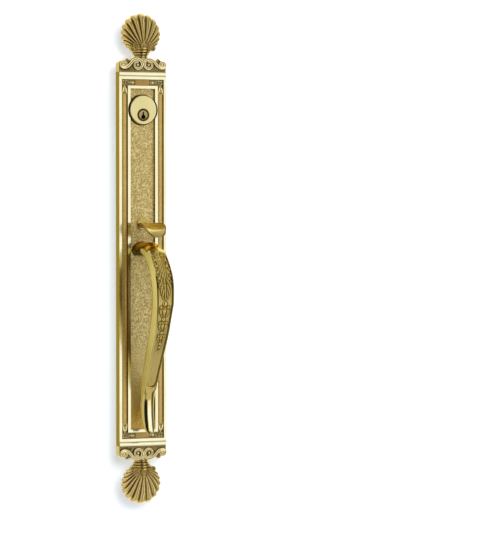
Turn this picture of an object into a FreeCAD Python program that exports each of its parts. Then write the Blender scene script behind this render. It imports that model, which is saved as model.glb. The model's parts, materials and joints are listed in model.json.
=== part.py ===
"""Entry door handleset: a long framed plate with scroll crests, shell finials, grip, thumbpiece and key cylinder.

Millimetres. +X is to the right seen from outside, +Y goes into the door, +Z is up.
The origin is at the middle of the plate's rear face, which lies on the door.
"""
import FreeCAD
import Part
import Sketcher

import math
import os
import re
from types import SimpleNamespace

SIZES = {
    # plate
    "plate_length": 457.2,
    "plate_width": 61.5,
    "plate_thickness": 12.0,
    "moulding_width": 4.5,
    "groove_width": 1.1,
    "groove_depth": 1.2,
    "border_width": 3.4,
    "channel_width": 7.8,
    "channel_depth": 2.8,
    "inner_border_width": 3.5,
    "panel_depth": 4.2,
    "rim_width": 3.0,
    "end_wall": 6.0,
    "hollow_depth": 4.4,
    # mounting posts
    "post_radius": 4.5,
    "post_length": 22.0,
    "post_shank_radius": 2.95,
    "post_shank_length": 5.4,
    "post_thread_radius": 2.5,
    "post_thread_depth": 14.0,
    "boss_wall": 2.8,
    # key cylinder
    "cylinder_inset": 46.3,
    "head_radius": 17.45,
    "head_thickness": 2.4,
    "head_proud": 1.4,
    "barrel_radius": 14.6,
    "barrel_length": 32.0,
    "thread_start": 0.5,
    "barrel_clearance": 0.5,
    "collar_radius": 18.9,
    "counterbore_clearance": 0.4,
    "cylinder_ring_wall": 2.4,
    "plug_drop": 6.1,
    "plug_radius": 6.35,
    "plug_clearance": 0.07,
    "keyway_width": 2.0,
    "keyway_depth": 6.4,
    "keyway_length": 25.0,
    "chamber_count": 5,
    "chamber_pitch": 3.96,
    "chamber_start": 7.0,
    "pin_radius": 1.43,
    "pin_clearance": 0.05,
    "driver_length": 4.2,
    "cap_width": 4.6,
    "cap_depth": 3.2,
    "cam_thickness": 2.5,
    "cam_hub_radius": 6.2,
    "cam_reach": 13.5,
    "cam_tip_radius": 3.2,
    "cam_screw_offset": 4.2,
    "cam_screw_radius": 1.1,
    "cam_screw_head": 1.9,
    # thumbpiece
    "thumb_height": 43.3,
    "hub_radius": 7.25,
    "hub_proud": 0.6,
    "hub_shank_radius": 6.5,
    "hub_ring_wall": 2.55,
    "slot_clearance": 0.3,
    "neck_width": 5.2,
    "neck_height": 4.0,
    "pivot_drop": 3.1,
    "pivot_depth": 2.2,
    "pivot_radius": 1.15,
    "pivot_clearance": 0.05,
    "press_angle": 13.0,
    "tail_length": 28.0,
    "tail_height": 5.4,
    "heel_height": 4.4,
    "spring_width": 4.4,
    "spring_sheet": 0.5,
    "spring_screw_radius": 1.2,
    "spring_screw_head": 2.2,
    "paddle_reach": 50.4,
    "paddle_width": 27.6,
    # grip
    "grip_gap": 21.8,
    "grip_tip_inset": 15.1,
    "grip_reach": 80.6,
    "grip_width": 22.8,
    "grip_border": 2.0,
    "grip_corner": 2.4,
    "recess_corner": 0.3,
    "carving_depth": 1.6,
    "grip_screw_drop": 8.3,
    "foot_inset": 39.6,
    "foot_radius": 5.2,
    "grip_screw_radius": 2.5,
    "grip_screw_reach": 11.0,
    "grip_screw_head": 4.2,
    "grip_screw_head_thickness": 2.4,
    "screw_clearance": 0.2,
    # crests
    "crest_thickness": 10.8,
    "scroll_relief": 3.0,
    "scroll_width": 2.8,
    "crest_centre_drop": 17.7,
    "volute_drop": 8.8,
    "outer_volute_inset": 5.55,
    "outer_volute_radius": 3.6,
    "inner_volute_offset": 7.2,
    "inner_volute_radius": 7.3,
    "volute_boss_radius": 2.1,
    "lug_width": 22.0,
    "lug_length": 15.0,
    "lug_thickness": 2.6,
    "lug_clearance": 0.2,
    "crest_screw_inset": 11.0,
    "crest_screw_radius": 1.5,
    "crest_screw_head": 2.9,
    "crest_screw_head_thickness": 1.2,
    "crest_screw_length": 5.2,
    # shell finials
    "finial_axis_depth": 4.6,
    "neck_start": 18.0,
    "neck_radius": 7.4,
    "neck_end_radius": 12.2,
    "neck_end": 27.0,
    "neck_groove": 1.1,
    "shoulder_radius": 13.4,
    "shell_focus": 28.0,
    "shell_centre": 47.2,
    "shell_radius": 23.4,
    "shell_boss_radius": 6.0,
    "shell_rim_depth": 5.4,
    "shell_back_gap": 0.8,
    "neck_back_gap": 0.6,
    "shell_dome": 9.0,
    "shell_rib_rise": 2.6,
    "shell_lobe_bump": 1.6,
    "shell_rib_pairs": 7,
    "shell_boss_lift": 0.8,
    "tongue_half_width": 3.3,
    "tongue_length": 6.6,
    "tongue_wall": 1.0,
    "tongue_lift": 2.4,
    "tongue_spacing": 8.6,
    "stud_radius": 2.5,
    "stud_length": 24.0,
    "stud_start": 5.0,
    "stud_clearance": 0.1,
}

doc = FreeCAD.newDocument("entry_handleset")
sheet = doc.addObject("Spreadsheet::Sheet", "sizes")
for row, (alias, number) in enumerate(SIZES.items(), 1):
    sheet.set(f"A{row}", alias)
    sheet.set(f"B{row}", str(number))
    sheet.setAlias(f"B{row}", alias)
doc.recompute()
s = SimpleNamespace(**{alias: float(getattr(sheet, alias)) for alias in SIZES})

WORD = re.compile(r"[a-z][a-z_]+")
TURN_TO_Y = FreeCAD.Rotation(FreeCAD.Vector(1, 0, 0), -90)
TURN_TO_X = FreeCAD.Rotation(FreeCAD.Vector(0, 1, 0), 90)
TURN_OVER = FreeCAD.Rotation(FreeCAD.Vector(0, 1, 0), 180)

# levels along Y, and heights along Z, as formulas of the sizes
CYLINDER_HEIGHT = "(plate_length / 2 - cylinder_inset)"
GRIP_TOP = "(thumb_height - grip_gap)"
GRIP_SCREW_HEIGHT = f"({GRIP_TOP} - grip_screw_drop)"
FOOT_HEIGHT = "(foot_inset - plate_length / 2)"
PANEL_FLOOR = "-(plate_thickness - panel_depth)"
HOLLOW_FLOOR = "-hollow_depth"
HEAD_FACE = "-(plate_thickness + head_proud)"
HEAD_SEAT = "-(plate_thickness + head_proud - head_thickness)"
BARREL_END = f"({HEAD_SEAT} + barrel_length)"
PLUG_HEIGHT = f"({CYLINDER_HEIGHT} - plug_drop)"
BARREL_TOP = f"({CYLINDER_HEIGHT} + barrel_radius)"
HUB_FACE = "-(plate_thickness + hub_proud)"
PIVOT_HEIGHT = "(thumb_height - pivot_drop)"
HUB_BOSS = "(hub_shank_radius + slot_clearance / 2 + hub_ring_wall)"
CYLINDER_BOSS = "2 * (barrel_radius + barrel_clearance + cylinder_ring_wall)"
POST_HEIGHT = f"((plate_length / 2 - lug_length + {CYLINDER_HEIGHT} + {CYLINDER_BOSS} / 2) / 2)"
NECK_BOTTOM = "(thumb_height - neck_height + 0.3)"
BOSS_WIDTH = "2 * (post_shank_radius + boss_wall)"


def in_sheet(formula):
    """The formula with each size's name as the sheet's own cell."""
    return WORD.sub(lambda word: f"sizes.{word.group()}" if word.group() in SIZES else word.group(), str(formula))


def number_of(formula):
    """A formula's value for shapes that are built by code: the sheet works it out in a spare cell."""
    sheet.set("D1", "=" + str(formula))
    sheet.recompute()
    result = float(sheet.get("D1"))
    sheet.clear("D1")
    return result


def bind(thing, prop, formula):
    thing.setExpression(prop, in_sheet(formula))


def put(thing, x=0, y=0, z=0, turn=None):
    """Places an object by formulas, after its rotation."""
    if turn:
        thing.Placement = FreeCAD.Placement(FreeCAD.Vector(), turn)
    for axis, formula in (("x", x), ("y", y), ("z", z)):
        bind(thing, f"Placement.Base.{axis}", formula)
    return thing


def box(name, x, y, z, wide, deep, tall):
    """A block from its lowest corner, with sizes along X, Y and Z."""
    thing = doc.addObject("Part::Box", name)
    for prop, formula in (("Length", wide), ("Width", deep), ("Height", tall)):
        bind(thing, prop, formula)
    return put(thing, x, y, z)


def rod(name, radius, length, x=0, y=0, z=0, turn=TURN_TO_Y):
    thing = doc.addObject("Part::Cylinder", name)
    bind(thing, "Radius", radius)
    bind(thing, "Height", length)
    return put(thing, x, y, z, turn)


def flat_rod(name, radius, length, x=0, y=0, z=0, turn=TURN_TO_Y, sides=12):
    """A many-sided rod, for small or hidden round pieces."""
    thing = doc.addObject("Part::Prism", name)
    thing.Polygon = sides
    bind(thing, "Circumradius", radius)
    bind(thing, "Height", length)
    return put(thing, x, y, z, turn)


def fuse(name, things):
    thing = doc.addObject("Part::MultiFuse", name)
    thing.Shapes = things
    return thing


def group(name, things):
    """Separate pieces that share one name."""
    thing = doc.addObject("Part::Compound", name)
    thing.Links = things
    return thing


def cut(name, base, tools):
    thing = doc.addObject("Part::Cut", name)
    thing.Base = base
    thing.Tool = tools[0] if len(tools) == 1 else group(f"{name}_tools", tools)
    return thing


def coded(name, shape, placement=None):
    """A sub-part whose shape is built by code from the sheet's sizes."""
    thing = doc.addObject("Part::Feature", name)
    thing.Shape = shape
    if placement:
        thing.Placement = placement
    return thing


def polygon(points):
    """A closed wire through points of three coordinates."""
    corners = [FreeCAD.Vector(*point) for point in points]
    return Part.makePolygon(corners + corners[:1])


def faceted_solid(wires):
    """A closed solid through closed wires of equal corner counts, skinned with flat triangles."""
    rings = [[vertex.Point for vertex in wire.OrderedVertexes] for wire in wires]
    faces = [Part.Face(wires[0]), Part.Face(wires[-1])]
    for one, other in zip(rings, rings[1:]):
        for k in range(len(one)):
            n = (k + 1) % len(one)
            for corners in ((one[k], one[n], other[n]), (one[k], other[n], other[k])):
                faces.append(Part.Face(Part.makePolygon(list(corners) + [corners[0]])))
    solid = Part.Solid(Part.Shell(faces))
    if solid.Volume < 0:
        solid.reverse()
    return solid


def bar(radius, start, along, sides=12):
    """A many-sided rod from a point, along a vector, for shapes that are built by code."""
    turn = FreeCAD.Rotation(FreeCAD.Vector(0, 0, 1), along)
    ring = [start + turn.multVec(FreeCAD.Vector(x, y, 0)) for x, y in disc(0, 0, radius, sides)]
    return Part.Face(polygon(ring)).extrude(along)


def in_between(stations, per_span):
    """Stations with evenly blended ones between them, on a smooth curve through them all."""
    padded = [stations[0]] + list(stations) + [stations[-1]]
    blended = []
    for a, b, c, d in zip(padded, padded[1:], padded[2:], padded[3:]):
        for k in range(per_span):
            t = k / per_span
            blended.append(tuple(
                q + 0.5 * t * (r - p + t * (2 * p - 5 * q + 4 * r - w + t * (3 * (q - r) + w - p)))
                for p, q, r, w in zip(a, b, c, d)))
    return blended + [tuple(stations[-1])]


def slab(outline, front, back):
    """A flat piece whose outline is given in X and Z, from one Y level to another."""
    face = Part.Face(polygon([(x, back, z) for x, z in outline]))
    return face.extrude(FreeCAD.Vector(0, front - back, 0))


def sketch_on_face(body, name, offset):
    """A sketch parallel to the door, at a distance in front of it; its axes are X and Z."""
    plane = [item for item in body.Origin.OriginFeatures if item.Role == "XZ_Plane"][0]
    sketch = body.newObject("Sketcher::SketchObject", name)
    sketch.AttachmentSupport = [(plane, "")]
    sketch.MapMode = "FlatFace"
    bind(sketch, "AttachmentOffset.Base.z", offset)
    return sketch


def add_rectangle(sketch, width, height, middle=None):
    """A rectangle about the sketch's origin, or about a point that far above it."""
    first = sketch.GeometryCount
    corners = [(-5, -5), (5, -5), (5, 5), (-5, 5)]
    for start, end in zip(corners, corners[1:] + corners[:1]):
        line = Part.LineSegment(FreeCAD.Vector(*start, 0), FreeCAD.Vector(*end, 0))
        sketch.addGeometry(line, False)
    bottom, right, top, left = range(first, first + 4)
    for one, other in ((bottom, right), (right, top), (top, left), (left, bottom)):
        sketch.addConstraint(Sketcher.Constraint("Coincident", one, 2, other, 1))
    for line in (bottom, top):
        sketch.addConstraint(Sketcher.Constraint("Horizontal", line))
    for line in (right, left):
        sketch.addConstraint(Sketcher.Constraint("Vertical", line))
    drive(sketch, "DistanceX", (bottom, 1, bottom, 2), 10, width)
    drive(sketch, "DistanceY", (right, 1, right, 2), 10, height)
    drive(sketch, "DistanceX", (-1, 1, right, 1), 5, f"({width}) / 2")
    if middle is None:
        drive(sketch, "DistanceY", (-1, 1, right, 2), 5, f"({height}) / 2")
    else:
        drive(sketch, "DistanceY", (-1, 1, right, 2), 5, f"({middle}) + ({height}) / 2")


def add_circle(sketch, radius, x, z):
    circle = sketch.addGeometry(Part.Circle(FreeCAD.Vector(1, 1, 0), FreeCAD.Vector(0, 0, 1), 1), False)
    sketch.setDatum(sketch.addConstraint(Sketcher.Constraint("Radius", circle, 1)), 1)
    bind(sketch, f"Constraints[{sketch.ConstraintCount - 1}]", radius)
    drive(sketch, "DistanceX", (-1, 1, circle, 3), 1, x)
    drive(sketch, "DistanceY", (-1, 1, circle, 3), 1, z)


def drive(sketch, kind, ends, start_value, formula):
    """A distance in a sketch that follows a formula."""
    sketch.addConstraint(Sketcher.Constraint(kind, *ends, start_value))
    bind(sketch, f"Constraints[{sketch.ConstraintCount - 1}]", formula)


def pocket(body, name, sketch, depth, from_rear=False):
    feature = body.newObject("PartDesign::Pocket", name)
    feature.Profile = sketch
    bind(feature, "Length", depth)
    feature.Reversed = from_rear
    sketch.Visibility = False
    return feature


POST_PLACES = [("0", POST_HEIGHT), ("0", f"-{POST_HEIGHT}")]
GRIP_SCREW_PLACES = [("0", GRIP_SCREW_HEIGHT), ("0", FOOT_HEIGHT)]


def make_backplate():
    """One casting: borders, sunk channel and panel in front, hollow with bosses behind."""
    body = doc.addObject("PartDesign::Body", "backplate_blank")
    outline = sketch_on_face(body, "plate_outline", 0)
    add_rectangle(outline, "plate_width", "plate_length")
    plate = body.newObject("PartDesign::Pad", "plate_pad")
    plate.Profile = outline
    bind(plate, "Length", "plate_thickness")

    frame_width = "plate_width - 2 * border_width"
    frame_length = "plate_length - 2 * (moulding_width + groove_width + border_width)"
    channel = sketch_on_face(body, "channel_outline", "plate_thickness")
    add_rectangle(channel, frame_width, frame_length)
    add_rectangle(channel, f"{frame_width} - 2 * channel_width", f"{frame_length} - 2 * channel_width")
    pocket(body, "channel", channel, "channel_depth")

    inset = "2 * (channel_width + inner_border_width)"
    panel = sketch_on_face(body, "panel_outline", "plate_thickness")
    add_rectangle(panel, f"{frame_width} - {inset}", f"{frame_length} - {inset}")
    pocket(body, "panel", panel, "panel_depth")

    grooves = sketch_on_face(body, "groove_outline", "plate_thickness")
    for side in ("", "-"):
        middle = f"{side}(plate_length / 2 - moulding_width - groove_width / 2)"
        add_rectangle(grooves, "plate_width + 1", "groove_width", middle)
    pocket(body, "grooves", grooves, "groove_depth")

    seat = sketch_on_face(body, "collar_seat_outline", "plate_thickness")
    add_circle(seat, "collar_radius + counterbore_clearance", "0", CYLINDER_HEIGHT)
    pocket(body, "collar_seat", seat, "panel_depth")

    hollow = sketch_on_face(body, "hollow_outline", 0)
    add_rectangle(hollow, "plate_width - 2 * rim_width", "plate_length - 2 * end_wall")
    for x, z in POST_PLACES:
        add_rectangle(hollow, BOSS_WIDTH, BOSS_WIDTH, z)
    add_rectangle(hollow, CYLINDER_BOSS, CYLINDER_BOSS, CYLINDER_HEIGHT)
    add_rectangle(hollow, f"2 * {HUB_BOSS}", f"2 * {HUB_BOSS}", "thumb_height")
    pocket(body, "hollow", hollow, "hollow_depth", from_rear=True)

    through = sketch_on_face(body, "through_outline", "plate_thickness")
    add_circle(through, "barrel_radius + barrel_clearance", "0", CYLINDER_HEIGHT)
    add_circle(through, "hub_shank_radius + slot_clearance / 2", "0", "thumb_height")
    pocket(body, "through_holes", through, "2 * plate_thickness")
    doc.recompute()

    tools = [flat_rod(f"grip_screw_hole_{index}", "grip_screw_radius + screw_clearance", "2 * plate_thickness", x,
                      "-1.5 * plate_thickness", z) for index, (x, z) in enumerate(GRIP_SCREW_PLACES)]
    tools += [flat_rod(f"post_socket_{index}", "post_shank_radius + pin_clearance", "post_shank_length + 1.4", x,
                       "-post_shank_length - 0.4", z) for index, (x, z) in enumerate(POST_PLACES)]
    window_depth = "lug_thickness + lug_clearance"
    for side in (-1, 1):
        low_end = f"{side} * (plate_length / 2 - end_wall / 2) - end_wall"
        tools.append(box(f"lug_window_{side + 1}", "-(lug_width / 2 + lug_clearance)", HOLLOW_FLOOR, low_end,
                         "lug_width + 2 * lug_clearance", window_depth, "2 * end_wall"))
        tools.append(flat_rod(f"crest_screw_socket_{side + 1}", "crest_screw_radius + pin_clearance",
                              "crest_screw_length - lug_thickness + 0.4", "0",
                              f"{HOLLOW_FLOOR} - (crest_screw_length - lug_thickness + 0.4)",
                              f"{side} * (plate_length / 2 - crest_screw_inset)"))
    ring = HUB_BOSS
    tools.append(rod("pivot_hole", "pivot_radius + 0.02", f"2 * {ring} + 2", f"-({ring} + 1)", "-pivot_depth",
                     PIVOT_HEIGHT, TURN_TO_X))
    tools.append(box("spring_notch", "-(spring_width / 2 + 0.4)", HOLLOW_FLOOR, "thumb_height",
                     "spring_width + 0.8", "hollow_depth + 1", f"{ring} + 1"))
    tools.append(flat_rod("spring_screw_socket", "spring_screw_radius + pin_clearance", "2.6", "0",
                          f"{HOLLOW_FLOOR} - 2.6", SPRING_SCREW_HEIGHT))
    return cut("backplate", body, tools)


SPRING_BASE = f"(thumb_height + {HUB_BOSS} + 0.8)"
SPRING_SCREW_HEIGHT = f"({SPRING_BASE} + spring_screw_head + 1)"


def make_posts():
    posts = []
    for index, (x, z) in enumerate(POST_PLACES):
        body = rod(f"post_body_{index}", "post_radius", "post_length", x, 0, z)
        shank = flat_rod(f"post_shank_{index}", "post_shank_radius", "post_shank_length + 1", x,
                         "-post_shank_length", z)
        bore = rod(f"post_bore_{index}", "post_thread_radius", "post_thread_depth + 1", x,
                   "post_length - post_thread_depth", z)
        posts.append(cut(f"post_{index}", fuse(f"post_blank_{index}", [body, shank]), [bore]))
    return group("mounting_posts", posts)


def chamber_depth(index):
    """How far a pin chamber lies along Y."""
    return f"({HEAD_FACE} + chamber_start + {index} * chamber_pitch)"


def chambers(prefix, radius, low, tall):
    """One upright rod for each pin chamber."""
    count = int(s.chamber_count)
    return [flat_rod(f"{prefix}_{index}", radius, tall, "0", chamber_depth(index), low, FreeCAD.Rotation())
            for index in range(count)]


def make_cylinder_body():
    """Head and threaded barrel, bored off centre for the plug, with pin chambers above it."""
    head = flat_rod("head", "head_radius", "head_thickness", "0", HEAD_FACE, CYLINDER_HEIGHT, sides=60)
    neck = flat_rod("barrel_neck", "barrel_radius - 0.4", "thread_start + 1 - " + HEAD_SEAT, "0",
                    f"{HEAD_SEAT} - 0.1", CYLINDER_HEIGHT, sides=24)
    barrel = rod("barrel", "barrel_radius", f"{BARREL_END} - thread_start", "0", "thread_start", CYLINDER_HEIGHT)
    bore = rod("plug_bore", "plug_radius + plug_clearance", "barrel_length + head_thickness + 2", "0",
               f"{HEAD_FACE} - 1", PLUG_HEIGHT)
    holes = chambers("body_chamber", "pin_radius + pin_clearance", PLUG_HEIGHT, "plug_drop + barrel_radius - 1")
    cap_slot = box("cap_slot", "-cap_width / 2", f"{chamber_depth(0)} - 2.5", f"{BARREL_TOP} - cap_depth",
                   "cap_width", f"({int(s.chamber_count)} - 1) * chamber_pitch + 5", "cap_depth + 1")
    return cut("cylinder_body", fuse("cylinder_blank", [head, neck, barrel]),
               [fuse("cylinder_voids", [bore, cap_slot] + holes)])


def make_chamber_cap():
    return box("chamber_cap", "-cap_width / 2 + 0.05", f"{chamber_depth(0)} - 2.45", f"{BARREL_TOP} - cap_depth",
               "cap_width - 0.1", f"({int(s.chamber_count)} - 1) * chamber_pitch + 4.9", "cap_depth - 0.7")


def make_collar():
    """Trim ring between the plate's panel and the cylinder's head."""
    height = "panel_depth + head_proud - head_thickness"
    ring = flat_rod("collar_blank", "collar_radius", height, "0", HEAD_SEAT, CYLINDER_HEIGHT, sides=60)
    bore = flat_rod("collar_bore", "barrel_radius + barrel_clearance", "plate_thickness", "0",
                    f"{HEAD_SEAT} - 1", CYLINDER_HEIGHT, sides=24)
    return cut("cylinder_collar", ring, [bore])


def make_plug():
    """The turning core: keyway below its centre, a chamber for each key pin, two tapped holes behind."""
    core = rod("plug_core", "plug_radius", "barrel_length + head_thickness", "0", HEAD_FACE, PLUG_HEIGHT)
    keyway = box("keyway", "-keyway_width / 2", f"{HEAD_FACE} - 1", f"{PLUG_HEIGHT} - 0.8 * plug_radius",
                 "keyway_width", "keyway_length + 1", "keyway_depth")
    holes = chambers("plug_chamber", "pin_radius + pin_clearance", PLUG_HEIGHT, "plug_radius + 1")
    sockets = [flat_rod(f"cam_socket_{side + 1}", "cam_screw_radius + pin_clearance", "7",
                        f"{side} * cam_screw_offset", f"{BARREL_END} - 6", PLUG_HEIGHT) for side in (-1, 1)]
    voids = fuse("plug_voids", [keyway] + holes)
    return cut("cylinder_plug", core, [voids] + sockets)


def shear_line():
    """The height of a flat pin end that stays inside the plug."""
    rise = math.sqrt(s.plug_radius ** 2 - s.pin_radius ** 2)
    return f"({PLUG_HEIGHT} + {rise:.3f} - 0.04)"


def make_pins():
    """Key pins end at the shear line, driver pins and springs stand above it."""
    lengths = ("4.6", "5.6", "4.2", "5.2", "4.8")
    count = int(s.chamber_count)
    key_pins, drivers, springs = [], [], []
    driver_foot = f"({PLUG_HEIGHT} + plug_radius + plug_clearance)"
    spring_foot = f"({driver_foot} + driver_length)"
    for index in range(count):
        depth = chamber_depth(index)
        length = lengths[index % len(lengths)]
        upright = FreeCAD.Rotation()
        key_pins.append(flat_rod(f"key_pin_{index}", "pin_radius", length, "0", depth,
                                 f"{shear_line()} - {length}", upright))
        drivers.append(flat_rod(f"driver_{index}", "pin_radius", "driver_length", "0", depth, driver_foot, upright))
        springs.append(flat_rod(f"spring_{index}", "pin_radius - 0.1",
                                f"{BARREL_TOP} - cap_depth - {spring_foot}", "0", depth, spring_foot, upright))
    return [group("key_pins", key_pins), group("driver_pins", drivers), group("pin_springs", springs)]


def make_cam():
    """Turns with the plug; at rest its lobe points up, inside the barrel's circle."""
    hub = flat_rod("cam_hub", "cam_hub_radius", "cam_thickness", "0", BARREL_END, PLUG_HEIGHT, sides=20)
    lobe = flat_rod("cam_tip", "cam_tip_radius", "cam_thickness", "0", BARREL_END,
                    f"{PLUG_HEIGHT} + cam_reach - cam_tip_radius")
    arm = box("cam_arm", "-cam_tip_radius", BARREL_END, PLUG_HEIGHT, "2 * cam_tip_radius", "cam_thickness",
              "cam_reach - cam_tip_radius")
    holes = [flat_rod(f"cam_hole_{side + 1}", "cam_screw_radius + screw_clearance", "cam_thickness + 2",
                      f"{side} * cam_screw_offset", f"{BARREL_END} - 1", PLUG_HEIGHT) for side in (-1, 1)]
    cam = cut("cylinder_cam", fuse("cam_blank", [hub, arm, lobe]), holes)
    screws = []
    for side in (-1, 1):
        shank = flat_rod(f"cam_screw_shank_{side + 1}", "cam_screw_radius", "cam_thickness + 5.1",
                         f"{side} * cam_screw_offset", f"{BARREL_END} - 5", PLUG_HEIGHT)
        head = flat_rod(f"cam_screw_head_{side + 1}", "cam_screw_head", "1.2", f"{side} * cam_screw_offset",
                        f"{BARREL_END} + cam_thickness", PLUG_HEIGHT)
        screws.append(fuse(f"cam_screw_{side + 1}", [shank, head]))
    return [cam, group("cam_screws", screws)]


def make_hub():
    """The round guide that the thumbpiece's neck passes through."""
    flange = flat_rod("hub_flange", "hub_radius", "hub_proud + panel_depth", "0", HUB_FACE, "thumb_height", sides=32)
    shank = flat_rod("hub_shank", "hub_shank_radius", "plate_thickness - panel_depth - hollow_depth + 1", "0",
                     f"{PANEL_FLOOR} - 1", "thumb_height", sides=32)
    drop = (s.plate_thickness + s.hub_proud - s.pivot_depth) * math.sin(math.radians(s.press_angle))
    slot = box("hub_slot", "-(neck_width / 2 + slot_clearance)", f"{HUB_FACE} - 1",
               f"{NECK_BOTTOM} - {drop:.3f} - slot_clearance", "neck_width + 2 * slot_clearance", "plate_thickness",
               f"neck_height + {drop:.3f} + 2 * slot_clearance")
    return cut("thumb_hub", fuse("hub_blank", [flange, shank]), [slot])


# the paddle from its root to its lip: share of the reach, share of the width,
# then the heights of its edge, its hollow and its underside above the neck's foot
PADDLE_STATIONS = [
    (0.00, 0.46, 4.3, 4.0, -0.6),
    (0.18, 0.55, 4.8, 3.1, -1.0),
    (0.42, 0.80, 4.9, 1.6, -2.2),
    (0.66, 1.00, 3.8, -0.2, -4.0),
    (0.84, 0.98, -0.4, -3.4, -7.4),
    (0.95, 0.76, -6.6, -8.4, -11.4),
    (1.00, 0.42, -11.0, -11.8, -13.4),
]


def make_thumbpiece():
    """Paddle, neck, pivot eye, tail and spring heel in one casting."""
    foot = number_of(NECK_BOTTOM)
    root = -(s.plate_thickness + s.hub_proud + 1.0)
    wires = []
    for along, across, edge, middle, under in in_between(PADDLE_STATIONS, 2):
        y = root - along * (s.paddle_reach - 1.6)
        half = across * s.paddle_width / 2
        skin = (edge - under) * 0.45
        points = [(-half, edge), (-0.5 * half, (edge + 2 * middle) / 3), (0, middle),
                  (0.5 * half, (edge + 2 * middle) / 3), (half, edge), (half * 0.97, edge - skin),
                  (0.5 * half, under + 0.6), (-0.5 * half, under + 0.6), (-half * 0.97, edge - skin)]
        wires.append(polygon([(x, y, foot + z) for x, z in points]))
    paddle = faceted_solid(wires)

    pivot_z = number_of(PIVOT_HEIGHT)
    half_neck = s.neck_width / 2
    eye = s.pivot_radius + 1.2
    tail_low = foot - 0.6
    side = [(root - 2, foot), (-s.pivot_depth - eye - 0.4, foot), (-s.pivot_depth - eye, pivot_z - eye),
            (-s.pivot_depth + eye, pivot_z - eye), (1.5, tail_low), (s.tail_length, tail_low),
            (s.tail_length, tail_low + s.tail_height), (0, tail_low + s.tail_height),
            (-0.6, foot + s.neck_height + s.heel_height), (-s.pivot_depth - 0.2, foot + s.neck_height + s.heel_height),
            (-s.pivot_depth - 0.4, foot + s.neck_height), (root - 2, foot + s.neck_height)]
    wire = polygon([(-half_neck, y, z) for y, z in side])
    lever = Part.Face(wire).extrude(FreeCAD.Vector(s.neck_width, 0, 0))
    hole = Part.makeCylinder(s.pivot_radius + s.pivot_clearance, s.neck_width + 2,
                             FreeCAD.Vector(-half_neck - 1, -s.pivot_depth, pivot_z), FreeCAD.Vector(1, 0, 0))
    return coded("thumbpiece", paddle.fuse(lever).cut(hole))


def make_thumb_fittings():
    """The pivot pin, the leaf spring that lifts the paddle, and its screw."""
    pin = rod("thumb_pivot_pin", "pivot_radius", f"2 * {HUB_BOSS} - 0.6", f"0.3 - {HUB_BOSS}", "-pivot_depth",
              PIVOT_HEIGHT, TURN_TO_X)
    base, screw_z = number_of(SPRING_BASE), number_of(SPRING_SCREW_HEIGHT)
    floor, sheet_metal = -s.hollow_depth, s.spring_sheet
    heel_z = number_of(NECK_BOTTOM) + s.neck_height + s.heel_height - 1.2
    heel_y = -s.pivot_depth - 0.25 - sheet_metal
    top = screw_z + s.spring_screw_head + 1
    profile = [(floor, base), (floor, top), (floor + sheet_metal, top), (floor + sheet_metal, base),
               (heel_y + sheet_metal, heel_z), (heel_y, heel_z)]
    leaf = Part.Face(polygon([(-s.spring_width / 2, y, z) for y, z in profile]))
    leaf = leaf.extrude(FreeCAD.Vector(s.spring_width, 0, 0))
    hole = bar(s.spring_screw_radius + 0.1, FreeCAD.Vector(0, floor - 1, screw_z), FreeCAD.Vector(0, 3, 0))
    spring = coded("thumb_spring", leaf.cut(hole))
    shank = flat_rod("spring_screw_shank", "spring_screw_radius", "spring_sheet + 2.5", "0",
                     f"{HOLLOW_FLOOR} - 2.4", SPRING_SCREW_HEIGHT)
    head = flat_rod("spring_screw_cap", "spring_screw_head", "1.3", "0", f"{HOLLOW_FLOOR} + spring_sheet",
                    SPRING_SCREW_HEIGHT)
    return [pin, spring, fuse("spring_screw", [shank, head])]


# the grip from root to tip: depth and height of its front edge, of its rear edge, and its width,
# as shares of the reach from the panel, the drop from the top, and the grip's width
GRIP_STATIONS = [
    (0.000, 0.000, 0.000, 0.074, 1.21),
    (0.030, 0.002, 0.030, 0.066, 1.02),
    (0.070, 0.004, 0.065, 0.060, 0.90),
    (0.250, 0.002, 0.225, 0.066, 0.84),
    (0.460, 0.005, 0.385, 0.082, 0.86),
    (0.640, 0.044, 0.500, 0.112, 0.90),
    (0.815, 0.108, 0.607, 0.144, 0.96),
    (0.927, 0.166, 0.685, 0.178, 1.00),
    (0.990, 0.235, 0.750, 0.230, 1.00),
    (0.996, 0.305, 0.775, 0.292, 0.97),
    (0.928, 0.390, 0.703, 0.372, 0.86),
    (0.809, 0.492, 0.580, 0.468, 0.80),
    (0.604, 0.615, 0.394, 0.594, 0.73),
    (0.418, 0.734, 0.207, 0.726, 0.63),
    (0.288, 0.822, 0.157, 0.822, 0.60),
    (0.264, 0.878, 0.144, 0.878, 0.55),
    (0.300, 0.938, 0.195, 0.934, 0.53),
    (0.345, 0.976, 0.290, 0.974, 0.42),
    (0.372, 0.994, 0.345, 0.996, 0.22),
]
CARVED_START, CARVED_END = 0.04, 0.62


s.top = number_of(GRIP_TOP)
s.drop = s.top + s.plate_length / 2 - s.grip_tip_inset
s.outer_volute_offset = s.plate_width / 2 - s.outer_volute_inset


def grip_points(station):
    """A station's front and rear points as (y, z), and its half width."""
    front_depth, front_fall, rear_depth, rear_fall, width = station
    floor = -(s.plate_thickness - s.panel_depth)
    front = (floor - front_depth * s.grip_reach, s.top - front_fall * s.drop)
    rear = (floor - rear_depth * s.grip_reach, s.top - rear_fall * s.drop)
    return front, rear, width * s.grip_width / 2


def rounded_section(front, rear, half, corner):
    """A rectangle across the grip with cut corners, from its front edge to its rear edge."""
    (front_y, front_z), (rear_y, rear_z) = front, rear
    depth = math.hypot(rear_y - front_y, rear_z - front_z)
    step = ((rear_y - front_y) / depth, (rear_z - front_z) / depth)
    corner = min(corner, 0.4 * depth, 0.4 * half)
    places = [(half - corner, 0), (half, corner), (half, depth - corner), (half - corner, depth)]
    places += [(-across, along) for across, along in reversed(places)]
    return polygon([(across, front_y + along * step[0], front_z + along * step[1]) for across, along in places])


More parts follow.
